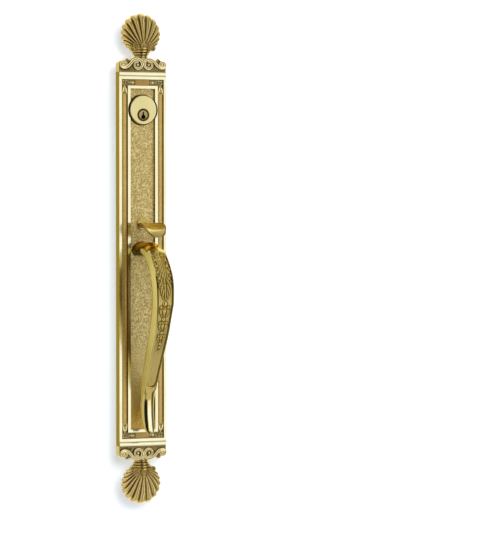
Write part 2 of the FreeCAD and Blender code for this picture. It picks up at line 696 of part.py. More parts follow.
def offset_point(point, other, distance):
    """The point moved away from another one."""
    length = math.dist(point, other)
    return tuple(a + (a - b) / length * distance for a, b in zip(point, other))


def make_grip():
    """Root, arm, carved bar, smooth tongue and hidden foot in one casting."""
    wires, sunk = [], []
    for station in in_between(GRIP_STATIONS, 2):
        front, rear, half = grip_points(station)
        wires.append(rounded_section(front, rear, half, s.grip_corner))
        if CARVED_START < station[1] < CARVED_END:
            outside, floor = offset_point(front, rear, 2 * s.carving_depth), offset_point(front, rear, -s.carving_depth)
            sunk.append(rounded_section(outside, floor, half - s.grip_border, s.recess_corner))
    casting = faceted_solid(wires).cut(faceted_solid(sunk))

    floor = -(s.plate_thickness - s.panel_depth)
    foot_reach = 0.18 * s.grip_reach
    foot = number_of(FOOT_HEIGHT)
    casting = casting.fuse(bar(s.foot_radius, FreeCAD.Vector(0, floor, foot), FreeCAD.Vector(0, -foot_reach, 0), 20))
    for height in (number_of(GRIP_SCREW_HEIGHT), foot):
        casting = casting.cut(bar(s.grip_screw_radius + s.pin_clearance, FreeCAD.Vector(0, floor, height),
                                  FreeCAD.Vector(0, -s.grip_screw_reach - 0.5, 0)))
    return coded("grip", casting)


def make_grip_fixings():
    """A machine screw behind each end of the grip."""
    screws = []
    for index, (x, z) in enumerate(GRIP_SCREW_PLACES):
        end = f"({PANEL_FLOOR} - grip_screw_reach)"
        shank = flat_rod(f"grip_screw_shank_{index}", "grip_screw_radius", f"{HOLLOW_FLOOR} - {end} + 0.1", x, end, z)
        head = flat_rod(f"grip_screw_cap_{index}", "grip_screw_head", "grip_screw_head_thickness", x, HOLLOW_FLOOR, z)
        screws.append(fuse(f"grip_screw_{index}", [shank, head]))
    return [group("grip_screws", screws)]


def spiral(centre, start_angle, end_angle, start_radius, end_radius, steps, bend=1.0):
    """Points of a spiral; angle 0 points outwards along X and 90 away from the plate."""
    points = []
    for step in range(steps + 1):
        share = step / steps
        angle = math.radians(start_angle + (end_angle - start_angle) * share)
        radius = start_radius + (end_radius - start_radius) * share ** bend
        points.append((centre[0] + radius * math.cos(angle), centre[1] + radius * math.sin(angle)))
    return points


def bezier(first, first_handle, last_handle, last, steps):
    points = []
    for step in range(1, steps):
        t = step / steps
        weights = ((1 - t) ** 3, 3 * t * (1 - t) ** 2, 3 * t * t * (1 - t), t ** 3)
        corners = (first, first_handle, last_handle, last)
        points.append(tuple(sum(w * corner[axis] for w, corner in zip(weights, corners)) for axis in (0, 1)))
    return points


def scroll_path():
    """The middle of one S scroll: outer volute, falling sweep, inner volute."""
    outer = (s.outer_volute_offset, s.volute_drop)
    inner = (s.inner_volute_offset, s.volute_drop)
    path = spiral(outer, 150, -90, s.outer_volute_radius * 0.9, s.outer_volute_radius, 12)
    start, end = path[-1], (inner[0], inner[1] + s.inner_volute_radius)
    handle = 0.5 * (outer[0] - inner[0])
    path += bezier(start, (start[0] - handle, start[1]), (end[0] + handle, end[1]), end, 6)
    return path + spiral(inner, 90, 480, s.inner_volute_radius, 1.2 * s.scroll_width, 22, 0.6)


def ribbon(path, width):
    """The outline of a band of even width along a path."""
    left, right = [], []
    for index, point in enumerate(path):
        before, after = path[max(index - 1, 0)], path[min(index + 1, len(path) - 1)]
        length = math.dist(before, after)
        normal = ((before[1] - after[1]) / length, (after[0] - before[0]) / length)
        left.append(tuple(p + n * width / 2 for p, n in zip(point, normal)))
        right.append(tuple(p - n * width / 2 for p, n in zip(point, normal)))
    return left + right[::-1]


def disc(x, z, radius, sides=12):
    """Corner points of a small round boss."""
    return [(x + radius * math.cos(2 * math.pi * k / sides), z + radius * math.sin(2 * math.pi * k / sides))
            for k in range(sides)]


def crest_shape():
    """One crest, with its plate end at height 0 and its centre drop upwards."""
    ground, face = -s.crest_thickness, -(s.crest_thickness + s.scroll_relief)
    half = s.plate_width / 2
    reach = s.volute_drop + s.outer_volute_radius + s.scroll_width / 2
    right = [(half, 0), (half, s.volute_drop)]
    corner = spiral((s.outer_volute_offset, s.volute_drop), 10, 90, half - s.outer_volute_offset,
                    reach - s.volute_drop, 6)
    right += corner + [(0.81 * s.outer_volute_offset, reach + 0.18 * s.volute_drop),
                       (0.635 * s.outer_volute_offset, reach - 0.045 * s.volute_drop),
                       (1.49 * s.inner_volute_offset, s.crest_centre_drop - 0.07 * s.volute_drop),
                       (0.72 * s.inner_volute_offset, s.crest_centre_drop)]
    outline = right + [(-x, z) for x, z in reversed(right)]
    body = slab(outline, ground, 0)
    path = scroll_path()
    bosses = [(s.outer_volute_offset, s.volute_drop), (s.inner_volute_offset, s.volute_drop)]
    for side in (-1, 1):
        body = body.fuse(slab(ribbon([(side * x, z) for x, z in path], s.scroll_width), face, ground + 1))
        for x, z in bosses:
            body = body.fuse(slab(disc(side * x, z, s.volute_boss_radius), face - 0.5, ground + 1))
    low = s.crest_centre_drop
    drop = [(0, 0.65 * low), (3.2, low - 1.2), (2.6, low), (-2.6, low), (-3.2, low - 1.2)]
    body = body.fuse(slab(drop, face + 0.8, ground + 1))
    lug_back = -s.hollow_depth + s.lug_thickness
    lug = Part.makeBox(s.lug_width, s.lug_thickness, s.lug_length + 1,
                       FreeCAD.Vector(-s.lug_width / 2, -s.hollow_depth, -s.lug_length))
    body = body.fuse(lug)
    place = FreeCAD.Vector(0, lug_back, -s.crest_screw_inset)
    hole = bar(s.crest_screw_radius + s.screw_clearance, place + FreeCAD.Vector(0, 1, 0),
               FreeCAD.Vector(0, -s.crest_thickness, 0))
    sink = bar(s.crest_screw_head + s.pin_clearance, place, FreeCAD.Vector(0, -s.crest_screw_head_thickness, 0))
    socket = bar(s.stud_radius + s.stud_clearance, FreeCAD.Vector(0, -s.finial_axis_depth - 1.4, s.stud_start),
                 FreeCAD.Vector(0, 0, s.crest_centre_drop))
    return body.cut(hole).cut(sink).cut(socket)


def dome_height(share):
    """The shell's height over its rim, from its focus (0) to its rim (1), as a share of the dome."""
    return (1 - share ** 2.2) ** 0.6


def rib_angle(number):
    """The direction of a lobe's middle round the shell's outline, the lobes closing up towards the neck."""
    return 25.7 * number - 0.957 * number * abs(number)


def shell_profile(position):
    """An upright slice through the shell from its focus; position counts lobes, whole numbers are crowns."""
    from_crown = position - round(position)
    crown = math.cos(math.pi * from_crown) ** 0.8 if abs(from_crown) < 0.499 else 0.0
    around = math.radians(rib_angle(position))
    reach = s.shell_radius + s.shell_lobe_bump * crown
    rim = (reach * math.sin(around), s.shell_centre + reach * math.cos(around))
    focus = (0.0, s.shell_focus)
    inner = s.shell_boss_radius / math.dist(rim, focus)
    stations = (0.97, 0.8, 0.5, inner)
    places = [(1.0, -s.shell_back_gap), (1.0, -s.shell_rim_depth)]
    for share in stations:
        rise = s.shell_dome * dome_height(share) + s.shell_rib_rise * crown * math.sqrt(share)
        places.append((share, -s.shell_rim_depth - rise))
    places.append((inner, -s.shell_back_gap))
    return polygon([(focus[0] + share * (rim[0] - focus[0]), y, focus[1] + share * (rim[1] - focus[1]))
                    for share, y in places])


def finial_shape():
    """A ringed neck, a collar of tongues and a scallop shell, with the plate's end at height 0."""
    pairs = int(s.shell_rib_pairs)
    positions = [lobe + step for lobe in range(-pairs, pairs + 1) for step in (-0.5, -0.22, 0.22)] + [pairs + 0.5]
    shell = faceted_solid([shell_profile(position) for position in positions])

    ring = (s.neck_end - s.neck_start) / 3
    flare = (s.neck_end_radius - s.neck_radius) / 3
    profile = []
    for index in range(3):
        low, radius = s.neck_start + index * ring, s.neck_radius + index * flare
        profile += [(radius, low), (radius, low + 0.7 * ring), (radius - s.neck_groove, low + 0.7 * ring),
                    (radius - s.neck_groove, low + ring)]
    profile += [(s.shoulder_radius, s.neck_end), (s.shoulder_radius, s.neck_end + 2)]
    axis_y = -s.finial_axis_depth
    neck = faceted_solid([polygon([(x, axis_y + y, height) for x, y in disc(0, 0, radius, 16)])
                          for radius, height in profile])
    behind = Part.makeBox(2 * s.shell_centre, s.shell_centre, 2 * s.shell_centre,
                          FreeCAD.Vector(-s.shell_centre, -s.neck_back_gap, 0))
    boss = bar(s.shell_boss_radius + 0.7, FreeCAD.Vector(0, -s.neck_back_gap, s.shell_focus),
               FreeCAD.Vector(0, s.neck_back_gap - s.shell_rim_depth - s.shell_dome - s.shell_boss_lift, 0))
    finial = shell.fuse(boss).fuse(neck.cut(behind))
    for tilt, across in ((0, 0), (-14, s.tongue_spacing), (14, -s.tongue_spacing)):
        finial = finial.fuse(tongue(across, tilt))
    socket = bar(s.stud_radius + s.stud_clearance, FreeCAD.Vector(0, axis_y - 1.4, s.neck_start - 1),
                 FreeCAD.Vector(0, 0, s.stud_start + s.stud_length - s.neck_start + 1.5))
    return finial.cut(socket)


def tongue(across, tilt):
    """A raised U-shaped leaf with a sunk middle, on the shell's shoulder."""
    front = -(s.shell_rim_depth + s.shell_dome + s.tongue_lift - 0.17 * abs(across))
    half, length, wall = s.tongue_half_width, s.tongue_length, s.tongue_wall
    low = s.neck_end - 0.6 * wall

    def leaf(half_width, start, end, face, back):
        arch = [(half_width * math.cos(a), end + half_width * math.sin(a))
                for a in (math.pi * k / 6 for k in range(7))]
        return slab([(half_width, start)] + arch + [(-half_width, start)], face, back)
    shape = leaf(half, low, low + length, front, -s.shell_rim_depth)
    shape = shape.cut(leaf(half - wall, low + 1.2 * wall, low + length, front - wall, front + wall))
    shape = shape.fuse(leaf(0.7 * wall, low + 0.5 * wall, low + length - wall, front - 0.2 * wall, front + 2 * wall))
    shape.rotate(FreeCAD.Vector(0, 0, low), FreeCAD.Vector(0, 1, 0), -tilt)
    shape.translate(FreeCAD.Vector(across, 0, 0))
    return shape


def end_placement(side):
    """Puts a piece made with the plate's end at height 0 at the plate's top or bottom."""
    height = FreeCAD.Vector(0, 0, side * s.plate_length / 2)
    return FreeCAD.Placement(height, FreeCAD.Rotation() if side > 0 else TURN_OVER)


def make_ends():
    """Crest and finial castings at both ends, with the studs and screws that hold them."""
    crest, finial = crest_shape(), finial_shape()
    made = []
    for side, place in ((1, "top"), (-1, "bottom")):
        made.append(coded(f"crest_{place}", crest, end_placement(side)))
        made.append(coded(f"shell_{place}", finial, end_placement(side)))
    studs, screws = [], []
    for side in (1, -1):
        low = f"{side} * (plate_length / 2 + stud_start + stud_length / 2) - stud_length / 2"
        studs.append(flat_rod(f"stud_{side + 1}", "stud_radius", "stud_length", "0", "-finial_axis_depth - 1.4",
                              low, FreeCAD.Rotation()))
        z = f"{side} * (plate_length / 2 - crest_screw_inset)"
        seat = "(-hollow_depth + lug_thickness)"
        shank = flat_rod(f"crest_screw_shank_{side + 1}", "crest_screw_radius", "crest_screw_length", "0",
                         f"{seat} - crest_screw_length", z)
        head = flat_rod(f"crest_screw_head_{side + 1}", "crest_screw_head", "crest_screw_head_thickness", "0",
                        f"{seat} - crest_screw_head_thickness", z)
        screws.append(fuse(f"crest_screw_{side + 1}", [shank, head]))
    return made + [group("finial_studs", studs), group("crest_screws", screws)]


def check(nodes):
    """Stops if any object failed or any sub-part has no sound shape."""
    for thing in doc.Objects:
        faults = [state for state in thing.State if state in ("Invalid", "Error")]
        if faults:
            raise RuntimeError(f"{thing.Name} is {faults}")
    for node in nodes:
        if node.Shape.isNull() or not node.Shape.isValid():
            raise RuntimeError(f"{node.Label} has no valid shape")


nodes = [make_backplate(), make_posts(), make_cylinder_body(), make_chamber_cap(), make_collar(), make_plug()]
nodes += make_pins() + make_cam() + [make_hub(), make_thumbpiece()] + make_thumb_fittings()
nodes += [make_grip()] + make_grip_fixings() + make_ends()
doc.recompute()
check(nodes)

os.makedirs("parts", exist_ok=True)
for node in nodes:
    node.Shape.exportStep(f"parts/{node.Label}.step")
    print(node.Label, len(node.Shape.Solids), round(node.Shape.Volume, 1))
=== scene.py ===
"""The look of the entry door handleset, in millimetres until a mesh is made; the studio is in metres."""

import json
import math

import bpy
import numpy as np
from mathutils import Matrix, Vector


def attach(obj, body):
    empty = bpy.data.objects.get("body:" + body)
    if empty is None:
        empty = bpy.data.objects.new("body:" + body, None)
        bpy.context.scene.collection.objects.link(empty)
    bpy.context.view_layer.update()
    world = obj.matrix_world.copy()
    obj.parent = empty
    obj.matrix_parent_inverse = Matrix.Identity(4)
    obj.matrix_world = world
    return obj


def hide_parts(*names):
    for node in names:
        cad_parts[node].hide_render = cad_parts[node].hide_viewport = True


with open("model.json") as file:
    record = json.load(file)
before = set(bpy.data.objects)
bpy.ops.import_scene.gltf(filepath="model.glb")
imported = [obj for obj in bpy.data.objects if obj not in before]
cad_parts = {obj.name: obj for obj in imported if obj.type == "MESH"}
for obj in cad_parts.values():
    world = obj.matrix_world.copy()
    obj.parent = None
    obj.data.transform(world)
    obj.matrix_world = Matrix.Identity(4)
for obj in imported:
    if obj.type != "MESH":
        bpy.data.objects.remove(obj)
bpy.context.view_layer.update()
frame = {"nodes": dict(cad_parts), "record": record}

MM = 0.001
SHARP = math.radians(38)

# the plate: half its height and width, its floors, and the widths of its frame from the edge inwards
PLATE_Z, PLATE_X, PLATE_FRONT = 228.6, 30.75, -12.0
PANEL_FLOOR, CHANNEL_FLOOR = -7.8, -9.2
MOULDING, GROOVE, BORDER, CHANNEL, INNER = 4.5, 1.1, 3.4, 7.8, 3.5
FRAME_X = PLATE_X - BORDER
FRAME_Z = PLATE_Z - MOULDING - GROOVE - BORDER
ORNAMENT_FLOOR, GROUND_FLOOR = CHANNEL_FLOOR - 0.1, CHANNEL_FLOOR - 0.08

# the lock and the thumbpiece
CYLINDER_Z, PLUG_Z, HEAD_FACE, BARREL_END = 182.3, 176.2, -13.4, 21.0
THUMB_Z, PIVOT = 43.3, (-2.2, 40.2)


def in_scene(name, data):
    """A new object, linked to the scene."""
    obj = bpy.data.objects.new(name, data)
    bpy.context.scene.collection.objects.link(obj)
    return obj


class Build:
    """Collects the vertices and faces of one piece, and how far each point is darkened, as antiquing and
    painted shade, and lightened, as painted highlight.
    """
    def __init__(self):
        self.verts, self.faces, self.patina, self.count = [], [], [], 0

    def add(self, verts, faces, patina=0.0):
        verts = np.asarray(verts, float).reshape(-1, 3)
        self.verts.append(verts)
        self.faces += [tuple(int(i) + self.count for i in face) for face in faces]
        self.patina.append(np.broadcast_to(np.asarray(patina, float), (len(verts),)).copy())
        self.count += len(verts)

    def done(self, name, body, material, slot, others=(), numbers=None):
        """Makes the piece, which rides on a body; numbers picks each face's material."""
        mesh = bpy.data.meshes.new(name)
        mesh.from_pydata((np.concatenate(self.verts) * MM).tolist(), [], self.faces)
        mesh.polygons.foreach_set("use_smooth", [True] * len(mesh.polygons))
        store = mesh.attributes.new("patina", "FLOAT", "POINT")
        store.data.foreach_set("value", np.concatenate(self.patina).astype(np.float32))
        for each in (material, *others):
            mesh.materials.append(each)
        if numbers is not None:
            mesh.polygons.foreach_set("material_index", numbers)
        mesh.validate()
        mesh.set_sharp_from_angle(angle=SHARP)
        obj = in_scene(name, mesh)
        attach(obj, body)
        return obj


def full_turn(steps):
    return np.linspace(0, 2 * math.pi, steps, endpoint=False)


def points(x, y, z):
    """Points from coordinates, each an array or one number."""
    return np.stack(np.broadcast_arrays(x, y, z), -1)


def unit(vectors, spare=0.0):
    """The vectors at length 1; spare guards against an empty one."""
    return vectors / (np.linalg.norm(vectors, axis=1)[:, None] + spare)


def blend(one, other, share):
    return one * (1 - share) + other * share


def hump(value, spread):
    """1 at zero, falling smoothly away on both sides."""
    return np.exp(-(value / spread) ** 2)


def grid_faces(rows, cols, close=False):
    """Quads of a grid of points, whose columns may close on themselves."""
    last = cols if close else cols - 1
    return [(r * cols + c, r * cols + (c + 1) % cols, (r + 1) * cols + (c + 1) % cols, (r + 1) * cols + c)
            for r in range(rows - 1) for c in range(last)]


def rings(build, sections, patina=0.0, caps=True):
    """Closed rings of equal counts joined into a skin, with its ends capped."""
    sections = [np.asarray(section, float) for section in sections]
    rows, cols = len(sections), len(sections[0])
    faces = grid_faces(rows, cols, True)
    if caps:
        faces.append(tuple(reversed(range(cols))))
        faces.append(tuple(range((rows - 1) * cols, rows * cols)))
    build.add(np.concatenate(sections), faces, patina)


def lathe(build, profile, centre, axis, steps, patina=0.0, caps=True):
    """Turns a profile of (radius, place along the axis) about a line through centre."""
    turn, sections = full_turn(steps), []
    for radius, place in profile:
        a, b = centre[0] + radius * np.cos(turn), centre[1] + radius * np.sin(turn)
        sections.append(points(a, place, b) if axis == "y" else points(a, b, place))
    rings(build, sections, patina, caps)


def sweep(build, path, radius, steps):
    """A round bar along a path of points, with one radius or a radius for each point."""
    path = np.asarray(path, float)
    radius = np.broadcast_to(np.asarray(radius, float), (len(path),))
    tangent = unit(np.gradient(path, axis=0), 1e-9)
    across = unit(np.cross(tangent, (0.0, -1.0, 0.0)), 1e-9)
    lift, turn = np.cross(across, tangent), full_turn(steps)
    rings(build, [p + r * (np.cos(turn)[:, None] * a + np.sin(turn)[:, None] * b)
                  for p, r, a, b in zip(path, radius, across, lift)])


def dome(build, centre, radius, height, steps, patina=0.0, squash=(1.0, 1.0), tilt=0.0):
    """A domed boss on a plane parallel to the door; centre is x, y, z of its foot."""
    turn, rows, sections = full_turn(steps), 7, []
    for k in range(rows):
        a = k / (rows - 1) * math.pi / 2 * 0.98
        x = radius * math.cos(a) * squash[0] * np.cos(turn)
        z = radius * math.cos(a) * squash[1] * np.sin(turn)
        y = centre[1] - height * math.sin(a)
        sections.append(points(centre[0] + x * math.cos(tilt) - z * math.sin(tilt), y,
                               centre[2] + x * math.sin(tilt) + z * math.cos(tilt)))
    foot = sections[0].copy()
    foot[:, 1] = centre[1] + 0.4
    rings(build, [foot] + sections, patina)


def between(stations, per_span):
    """Points blended smoothly between the stations."""
    stations = np.asarray(stations, float)
    padded = np.concatenate([stations[:1], stations, stations[-1:]])
    rows = []
    for p, q, r, w in zip(padded, padded[1:], padded[2:], padded[3:]):
        for k in range(per_span):
            t = k / per_span
            rows.append(q + 0.5 * t * (r - p + t * (2 * p - 5 * q + 4 * r - w + t * (3 * (q - r) + w - p))))
    return np.array(rows + [stations[-1]])


def smooth_step(value):
    value = np.clip(value, 0, 1)
    return value * value * (3 - 2 * value)


def smooth_noise(shape, cell, seed):
    """Even random bumps on a grid, about cell grid steps apart, from -1 to 1."""
    rows, cols = (int(n / cell) + 4 for n in shape)
    coarse = np.random.default_rng(seed).uniform(-1, 1, (rows, cols))
    r, c = np.arange(shape[0]) / cell, np.arange(shape[1]) / cell
    r0, c0 = r.astype(int), c.astype(int)
    fr, fc = smooth_step(r - r0)[:, None], smooth_step(c - c0)[None, :]
    pick = lambda dr, dc: coarse[np.ix_(r0 + dr, c0 + dc)]
    return blend(blend(pick(0, 0), pick(0, 1), fc), blend(pick(1, 0), pick(1, 1), fc), fr)


def blur(field, cells):
    """Mean over a square of grid points, cells to each side."""
    size = 2 * cells + 1
    for axis in (0, 1):
        field = np.moveaxis(field, axis, 0)
        total = np.pad(field, ((cells + 1, cells), (0, 0)), mode="edge").cumsum(0)
        field = np.moveaxis((total[size:] - total[:-size]) / size, 0, axis)
    return field


def hollows(field, cells, gain):
    """How far each grid point lies below its neighbourhood, from 0 to 1."""
    return np.clip((blur(blur(field, cells), cells) - field) * gain, 0, 1)


class Tree:
    """The node tree of a material or the world."""
    def __init__(self, owner):
        owner.use_nodes = True
        self.nodes, self.link = owner.node_tree.nodes, owner.node_tree.links.new

    def fill(self, node, inputs):
        """Links or sets a node's inputs by name or number; a colour is three numbers."""
        for key, value in dict(inputs).items():
            if isinstance(value, bpy.types.NodeSocket):
                self.link(value, node.inputs[key])
            else:
                node.inputs[key].default_value = (*value, 1) if isinstance(value, tuple) else value
        return node

    def new(self, kind, inputs=()):
        return self.fill(self.nodes.new("ShaderNode" + kind), inputs)

    def calc(self, operation, *values):
        """A Math node over sockets and numbers."""
        node = self.new("Math", enumerate(values))
        node.operation = operation
        return node.outputs[0]

    def mapped(self, value, old, new=(0.0, 1.0), smooth=False):
        """Takes the span old to the span new."""
        node = self.new("MapRange", enumerate((value, *old, *new)))
        node.interpolation_type = "SMOOTHSTEP" if smooth else "LINEAR"
        return node.outputs[0]

    def window(self, value, low, high, soft):
        """1 between low and high, and 0 beyond soft on both sides."""
        return self.calc("MULTIPLY", self.mapped(value, (low - soft, low), (0.0, 1.0), True),
                         self.mapped(value, (high, high + soft), (1.0, 0.0), True))

    def noise(self, place, scale, detail):
        return self.new("TexNoise", {"Vector": place, "Scale": scale, "Detail": detail}).outputs["Fac"]

    def split(self, vector):
        return self.new("SeparateXYZ", {0: vector}).outputs

    def mixed(self, share, one, other):
        """One colour turning into the other; 6, 7 and output 2 are the colour sockets."""
        node = self.new("Mix", {0: share, 6: one, 7: other})
        node.data_type = "RGBA"
        return node.outputs[2]


def brass(name, colour, roughness, grain=0.12, grain_scale=900.0, depth=0.04, dark=(0.075, 0.040, 0.014),
          mottle=0.10, side_shade=None, metal=1.0, painted_light_colour=(1.0, 0.92, 0.62)):
    """Brass with a faint scuffed grain; the sideways colour, when given, is painted shade on faces that look
    sideways.

    Tone above zero turns it dark and dull, as antiquing and painted shade in recesses; tone below zero turns
    it towards the second colour, which is painted light: a highlight on most brass, an orange shade on the
    panel's ground.
    """
    material = bpy.data.materials.new(name)
    tree = Tree(material)
    place = tree.new("TexCoord").outputs["Object"]
    warm = tuple(c * k for c, k in zip(colour, (1 - mottle * 0.5, 1 - mottle, 1 - 1.6 * mottle)))
    base = tree.mixed(tree.mapped(tree.noise(place, 28.0, 3.0), (0.35, 0.65)), colour, warm)
    # faces that look sideways take the sideways colour as painted shade
    if side_shade:
        sideways = tree.calc("ABSOLUTE", tree.split(tree.new("NewGeometry").outputs["Normal"])["X"])
        base = tree.mixed(tree.mapped(sideways, (0.5, 0.9)), base, side_shade)
    attribute = tree.new("Attribute")
    attribute.attribute_name = "patina"
    # tone above zero darkens as antiquing and painted shade; below zero it mixes in the second colour as
    # painted light
    dull, painted_light_share = (tree.mapped(attribute.outputs["Fac"], (0.0, end)) for end in (1.0, -1.0))
    fine = tree.noise(place, grain_scale, 4.0)
    sheen = tree.mapped(fine, (0.3, 0.7), (roughness * (1 - grain), roughness * (1 + grain)))
    bump = tree.new("Bump", {"Strength": depth, "Distance": 0.0002, "Height": fine})
    tree.fill(tree.nodes["Principled BSDF"], {
        "Base Color": tree.mixed(painted_light_share, tree.mixed(dull, base, dark), painted_light_colour), "Metallic": metal,
        "Specular Tint": (1.0, 0.84, 0.45), "Roughness": tree.calc("MULTIPLY_ADD", dull, 0.30, sheen),
        "Normal": bump.outputs[0]})
    return material


POLISHED = brass("polished_brass", (0.82, 0.66, 0.22), 0.10)
FLAT_SIDE = brass("brushed_brass", (0.95, 0.80, 0.22), 0.34, grain=0.2, metal=0.6)
# the pale colour is a painted highlight on the plate's polished frame; the sideways colour is painted shade
# on its side walls
BORDERS = brass("border_brass", (0.90, 0.87, 0.60), 0.14, side_shade=(0.37, 0.29, 0.06))
CREST = brass("crest_brass", (0.93, 0.79, 0.36), 0.15, grain=0.25, depth=0.08)
SHELL = brass("shell_brass", (0.80, 0.62, 0.22), 0.22, grain=0.25, depth=0.10)
REED = brass("reed_brass", (0.88, 0.64, 0.22), 0.30, grain=0.25, depth=0.10)
# its second colour, an orange, is painted shade towards the panel's lower end; its dark colour darkens the
# stipple's hollows
GROUND = brass("ground_brass", (0.96, 0.82, 0.37), 0.42, grain=0.3, grain_scale=600.0, depth=0.25, metal=0.75,
               dark=(0.34, 0.17, 0.02), painted_light_colour=(0.79, 0.44, 0.005))
# this dark orange colour paints the shade and orange reflection on the arm
ARM = brass("arm_brass", (0.70, 0.42, 0.05), 0.13)
THUMB = brass("thumb_brass", (0.80, 0.62, 0.20), 0.25)
SATIN = brass("satin_brass", (0.78, 0.71, 0.36), 0.24)
PLUG = brass("plug_brass", (0.44, 0.35, 0.14), 0.28)
HUB = brass("hub_brass", (0.46, 0.34, 0.09), 0.14)
# its second colour, near black, is painted shadow in the keyway's mouth
DARK = brass("dark_brass", (0.10, 0.065, 0.03), 0.35, dark=(0.008, 0.006, 0.003))
STEEL = brass("plain_steel", (0.56, 0.55, 0.53), 0.30, mottle=0.02)


def dress_cad():
    """Materials for the solids that stay in view."""
    by_slot = {"plate_brass": BORDERS, "polished_brass": POLISHED, "ornament_brass": CREST,
               "cylinder_brass": SATIN, "dark_brass": DARK, "steel": STEEL}
    slots = {part["node"]: part["material_slot"] for part in frame["record"]["subparts"]}
    for name, node in frame["nodes"].items():
        node.data.materials.clear()
        node.data.materials.append({"cylinder_plug": PLUG, "thumb_hub": HUB}.get(name, by_slot[slots[name]]))


def reeded_strip(build, side, reach, outer, pitch, height, upright):
    """Half-round reeds side by side, reach both ways, in the channel inside outer on one side."""
    count = max(int(round(2 * reach / pitch)), 1)
    pitch = 2 * reach / count
    arch = [math.pi * k / 6 for k in range(6)]
    rows = [(-reach + pitch * (reed + 0.5 - 0.5 * math.cos(a)), math.sin(a) ** 0.55)
            for reed in range(count) for a in arch] + [(reach, 0.0)]
    left, right = sorted((side * outer, side * (outer - CHANNEL)))
    ends = ((0.0, 0.0), (0.35, 0.75), (0.8, 1.0))
    lanes = [(left + x, share) for x, share in ends] + [(right - x, share) for x, share in ends[::-1]]
    verts, patina = [], []
    for place, lift in rows:
        for lane, share in lanes:
            y = ORNAMENT_FLOOR - height * lift * share
            verts.append((lane, y, place) if upright else (place, y, lane))
            # darker between the reeds and towards the channel's sides, as antiquing and painted shade
            patina.append(0.80 * (1 - lift * share) ** 2.0)
    build.add(verts, grid_faces(len(rows), len(lanes)), patina)


def leaflet(build, root, head, reach, width, lift):
    """A pointed leaf with a vein, on the channel's floor from its root along head."""
    cross = np.array([-head[1], head[0]])
    lanes = [(j - 4) / 4 for j in range(9)]
    rows = []
    for k in range(13):
        t = k / 12
        wide = width * math.sin(math.pi * min(t * 0.97 + 0.03, 1)) ** 0.7
        centre = root + head * reach * t
        for u in lanes:
            p = centre + cross * wide * u
            h = lift * (1 - u * u) ** 0.6 * math.sin(math.pi * (0.12 + 0.83 * t)) ** 0.6
            h -= 0.35 * math.exp(-(u / 0.16) ** 2) * (1 - t)
            rows.append((p[0], ORNAMENT_FLOOR - max(h, -0.1), p[1]))
    # darker towards the leaf's edges, as antiquing and painted shade
    build.add(rows, grid_faces(13, 9), [0.75 * abs(u) ** 3 for u in lanes] * 13)


def lotus(build, x, z, way, length, half):
    """Three leaves that point up (way 1) or down (way -1), and a bead at their root."""
    along, side = np.array([0.0, way]), np.array([-float(way), 0.0])
    for angle, reach, width, lift in ((0.30, length, 0.36 * half, 2.2), (-0.30, length, 0.36 * half, 2.2),
                                      (0.0, 0.8 * length, 0.22 * half, 1.5)):
        head = along * math.cos(angle) + side * math.sin(angle)
        leaflet(build, np.array([x, z]), head, reach, width, lift)
    dome(build, (x, ORNAMENT_FLOOR, z), 1.4, 1.6, 14, 0.1)


# beads at each corner of the channel: across, along and radius
CORNER_BEADS = [(1.7, 1.8, 1.7), (-1.7, 2.0, 1.5), (2.0, -1.6, 1.5), (-4.6, 1.9, 1.1), (-1.5, -0.9, 1.0)]
BUD_X, SEED_X, REEDED_SIDE, REEDED_END = 13.0, 17.4, FRAME_Z - CHANNEL - 9.5, 9.0


def corner_ornament(build, hand, side, middle):
    """Leaf, bud, seed and beads at one corner of the channel."""
    x = hand * (FRAME_X - CHANNEL / 2)
    lotus(build, x, middle - side * 3.4, -side, 12.5, 7.2)
    # the bud a little lighter and the beads lighter, as painted highlight; the seed darker
    dome(build, (hand * BUD_X, CHANNEL_FLOOR, middle), 2.3, 2.2, 24, -0.1, (1.5, 1.0))
    dome(build, (hand * SEED_X, CHANNEL_FLOOR, middle), 1.5, 1.4, 16, 0.2, (0.8, 1.2))
    for across, along, r in CORNER_BEADS:
        dome(build, (x + hand * across, CHANNEL_FLOOR, middle + side * along), r, 1.2 * r, 16, -0.45)


def channel_ground(build, side):
    """Dark ground under the ornament of one side and one end: sheets over the channel's floor, darkened as
    antiquing and painted shade.
    """
    inner = FRAME_X - CHANNEL
    for x, z in (((side * FRAME_X, side * inner), (-FRAME_Z, FRAME_Z)),
                 ((-inner, inner), (side * FRAME_Z, side * (FRAME_Z - CHANNEL)))):
        corners = [(x[i], GROUND_FLOOR, z[j]) for i, j in ((0, 0), (1, 0), (1, 1), (0, 1))]
        build.add(corners, [(0, 1, 2, 3)], 0.78)


def end_moulding(groove, band, side):
    """The groove's dark floor, a sheet of painted shade, and the bulged moulding beyond it, darker at its
    edges, at one end of the plate.
    """
    low = side * (PLATE_Z - MOULDING)
    edge = PLATE_X - 0.1
    groove.add([(x, PLATE_FRONT + 0.35, z) for z in (low, low - side * GROOVE) for x in (-edge, edge)],
               [(0, 1, 3, 2)], 0.55)
    edge = PLATE_X - 0.15
    tone = [0.35, 0.1, 0, 0, 0, 0, 0, 0.1, 0.35]
    verts = []
    for k in range(9):
        y = PLATE_FRONT - 0.03 - 0.5 * math.sin(math.pi * k / 8) ** 0.8
        z = low + side * (0.15 + (MOULDING - 0.3) * k / 8)
        verts += [(-edge, y, z), (edge, y, z)]
    band.add(verts, grid_faces(9, 2), np.repeat(tone, 2))


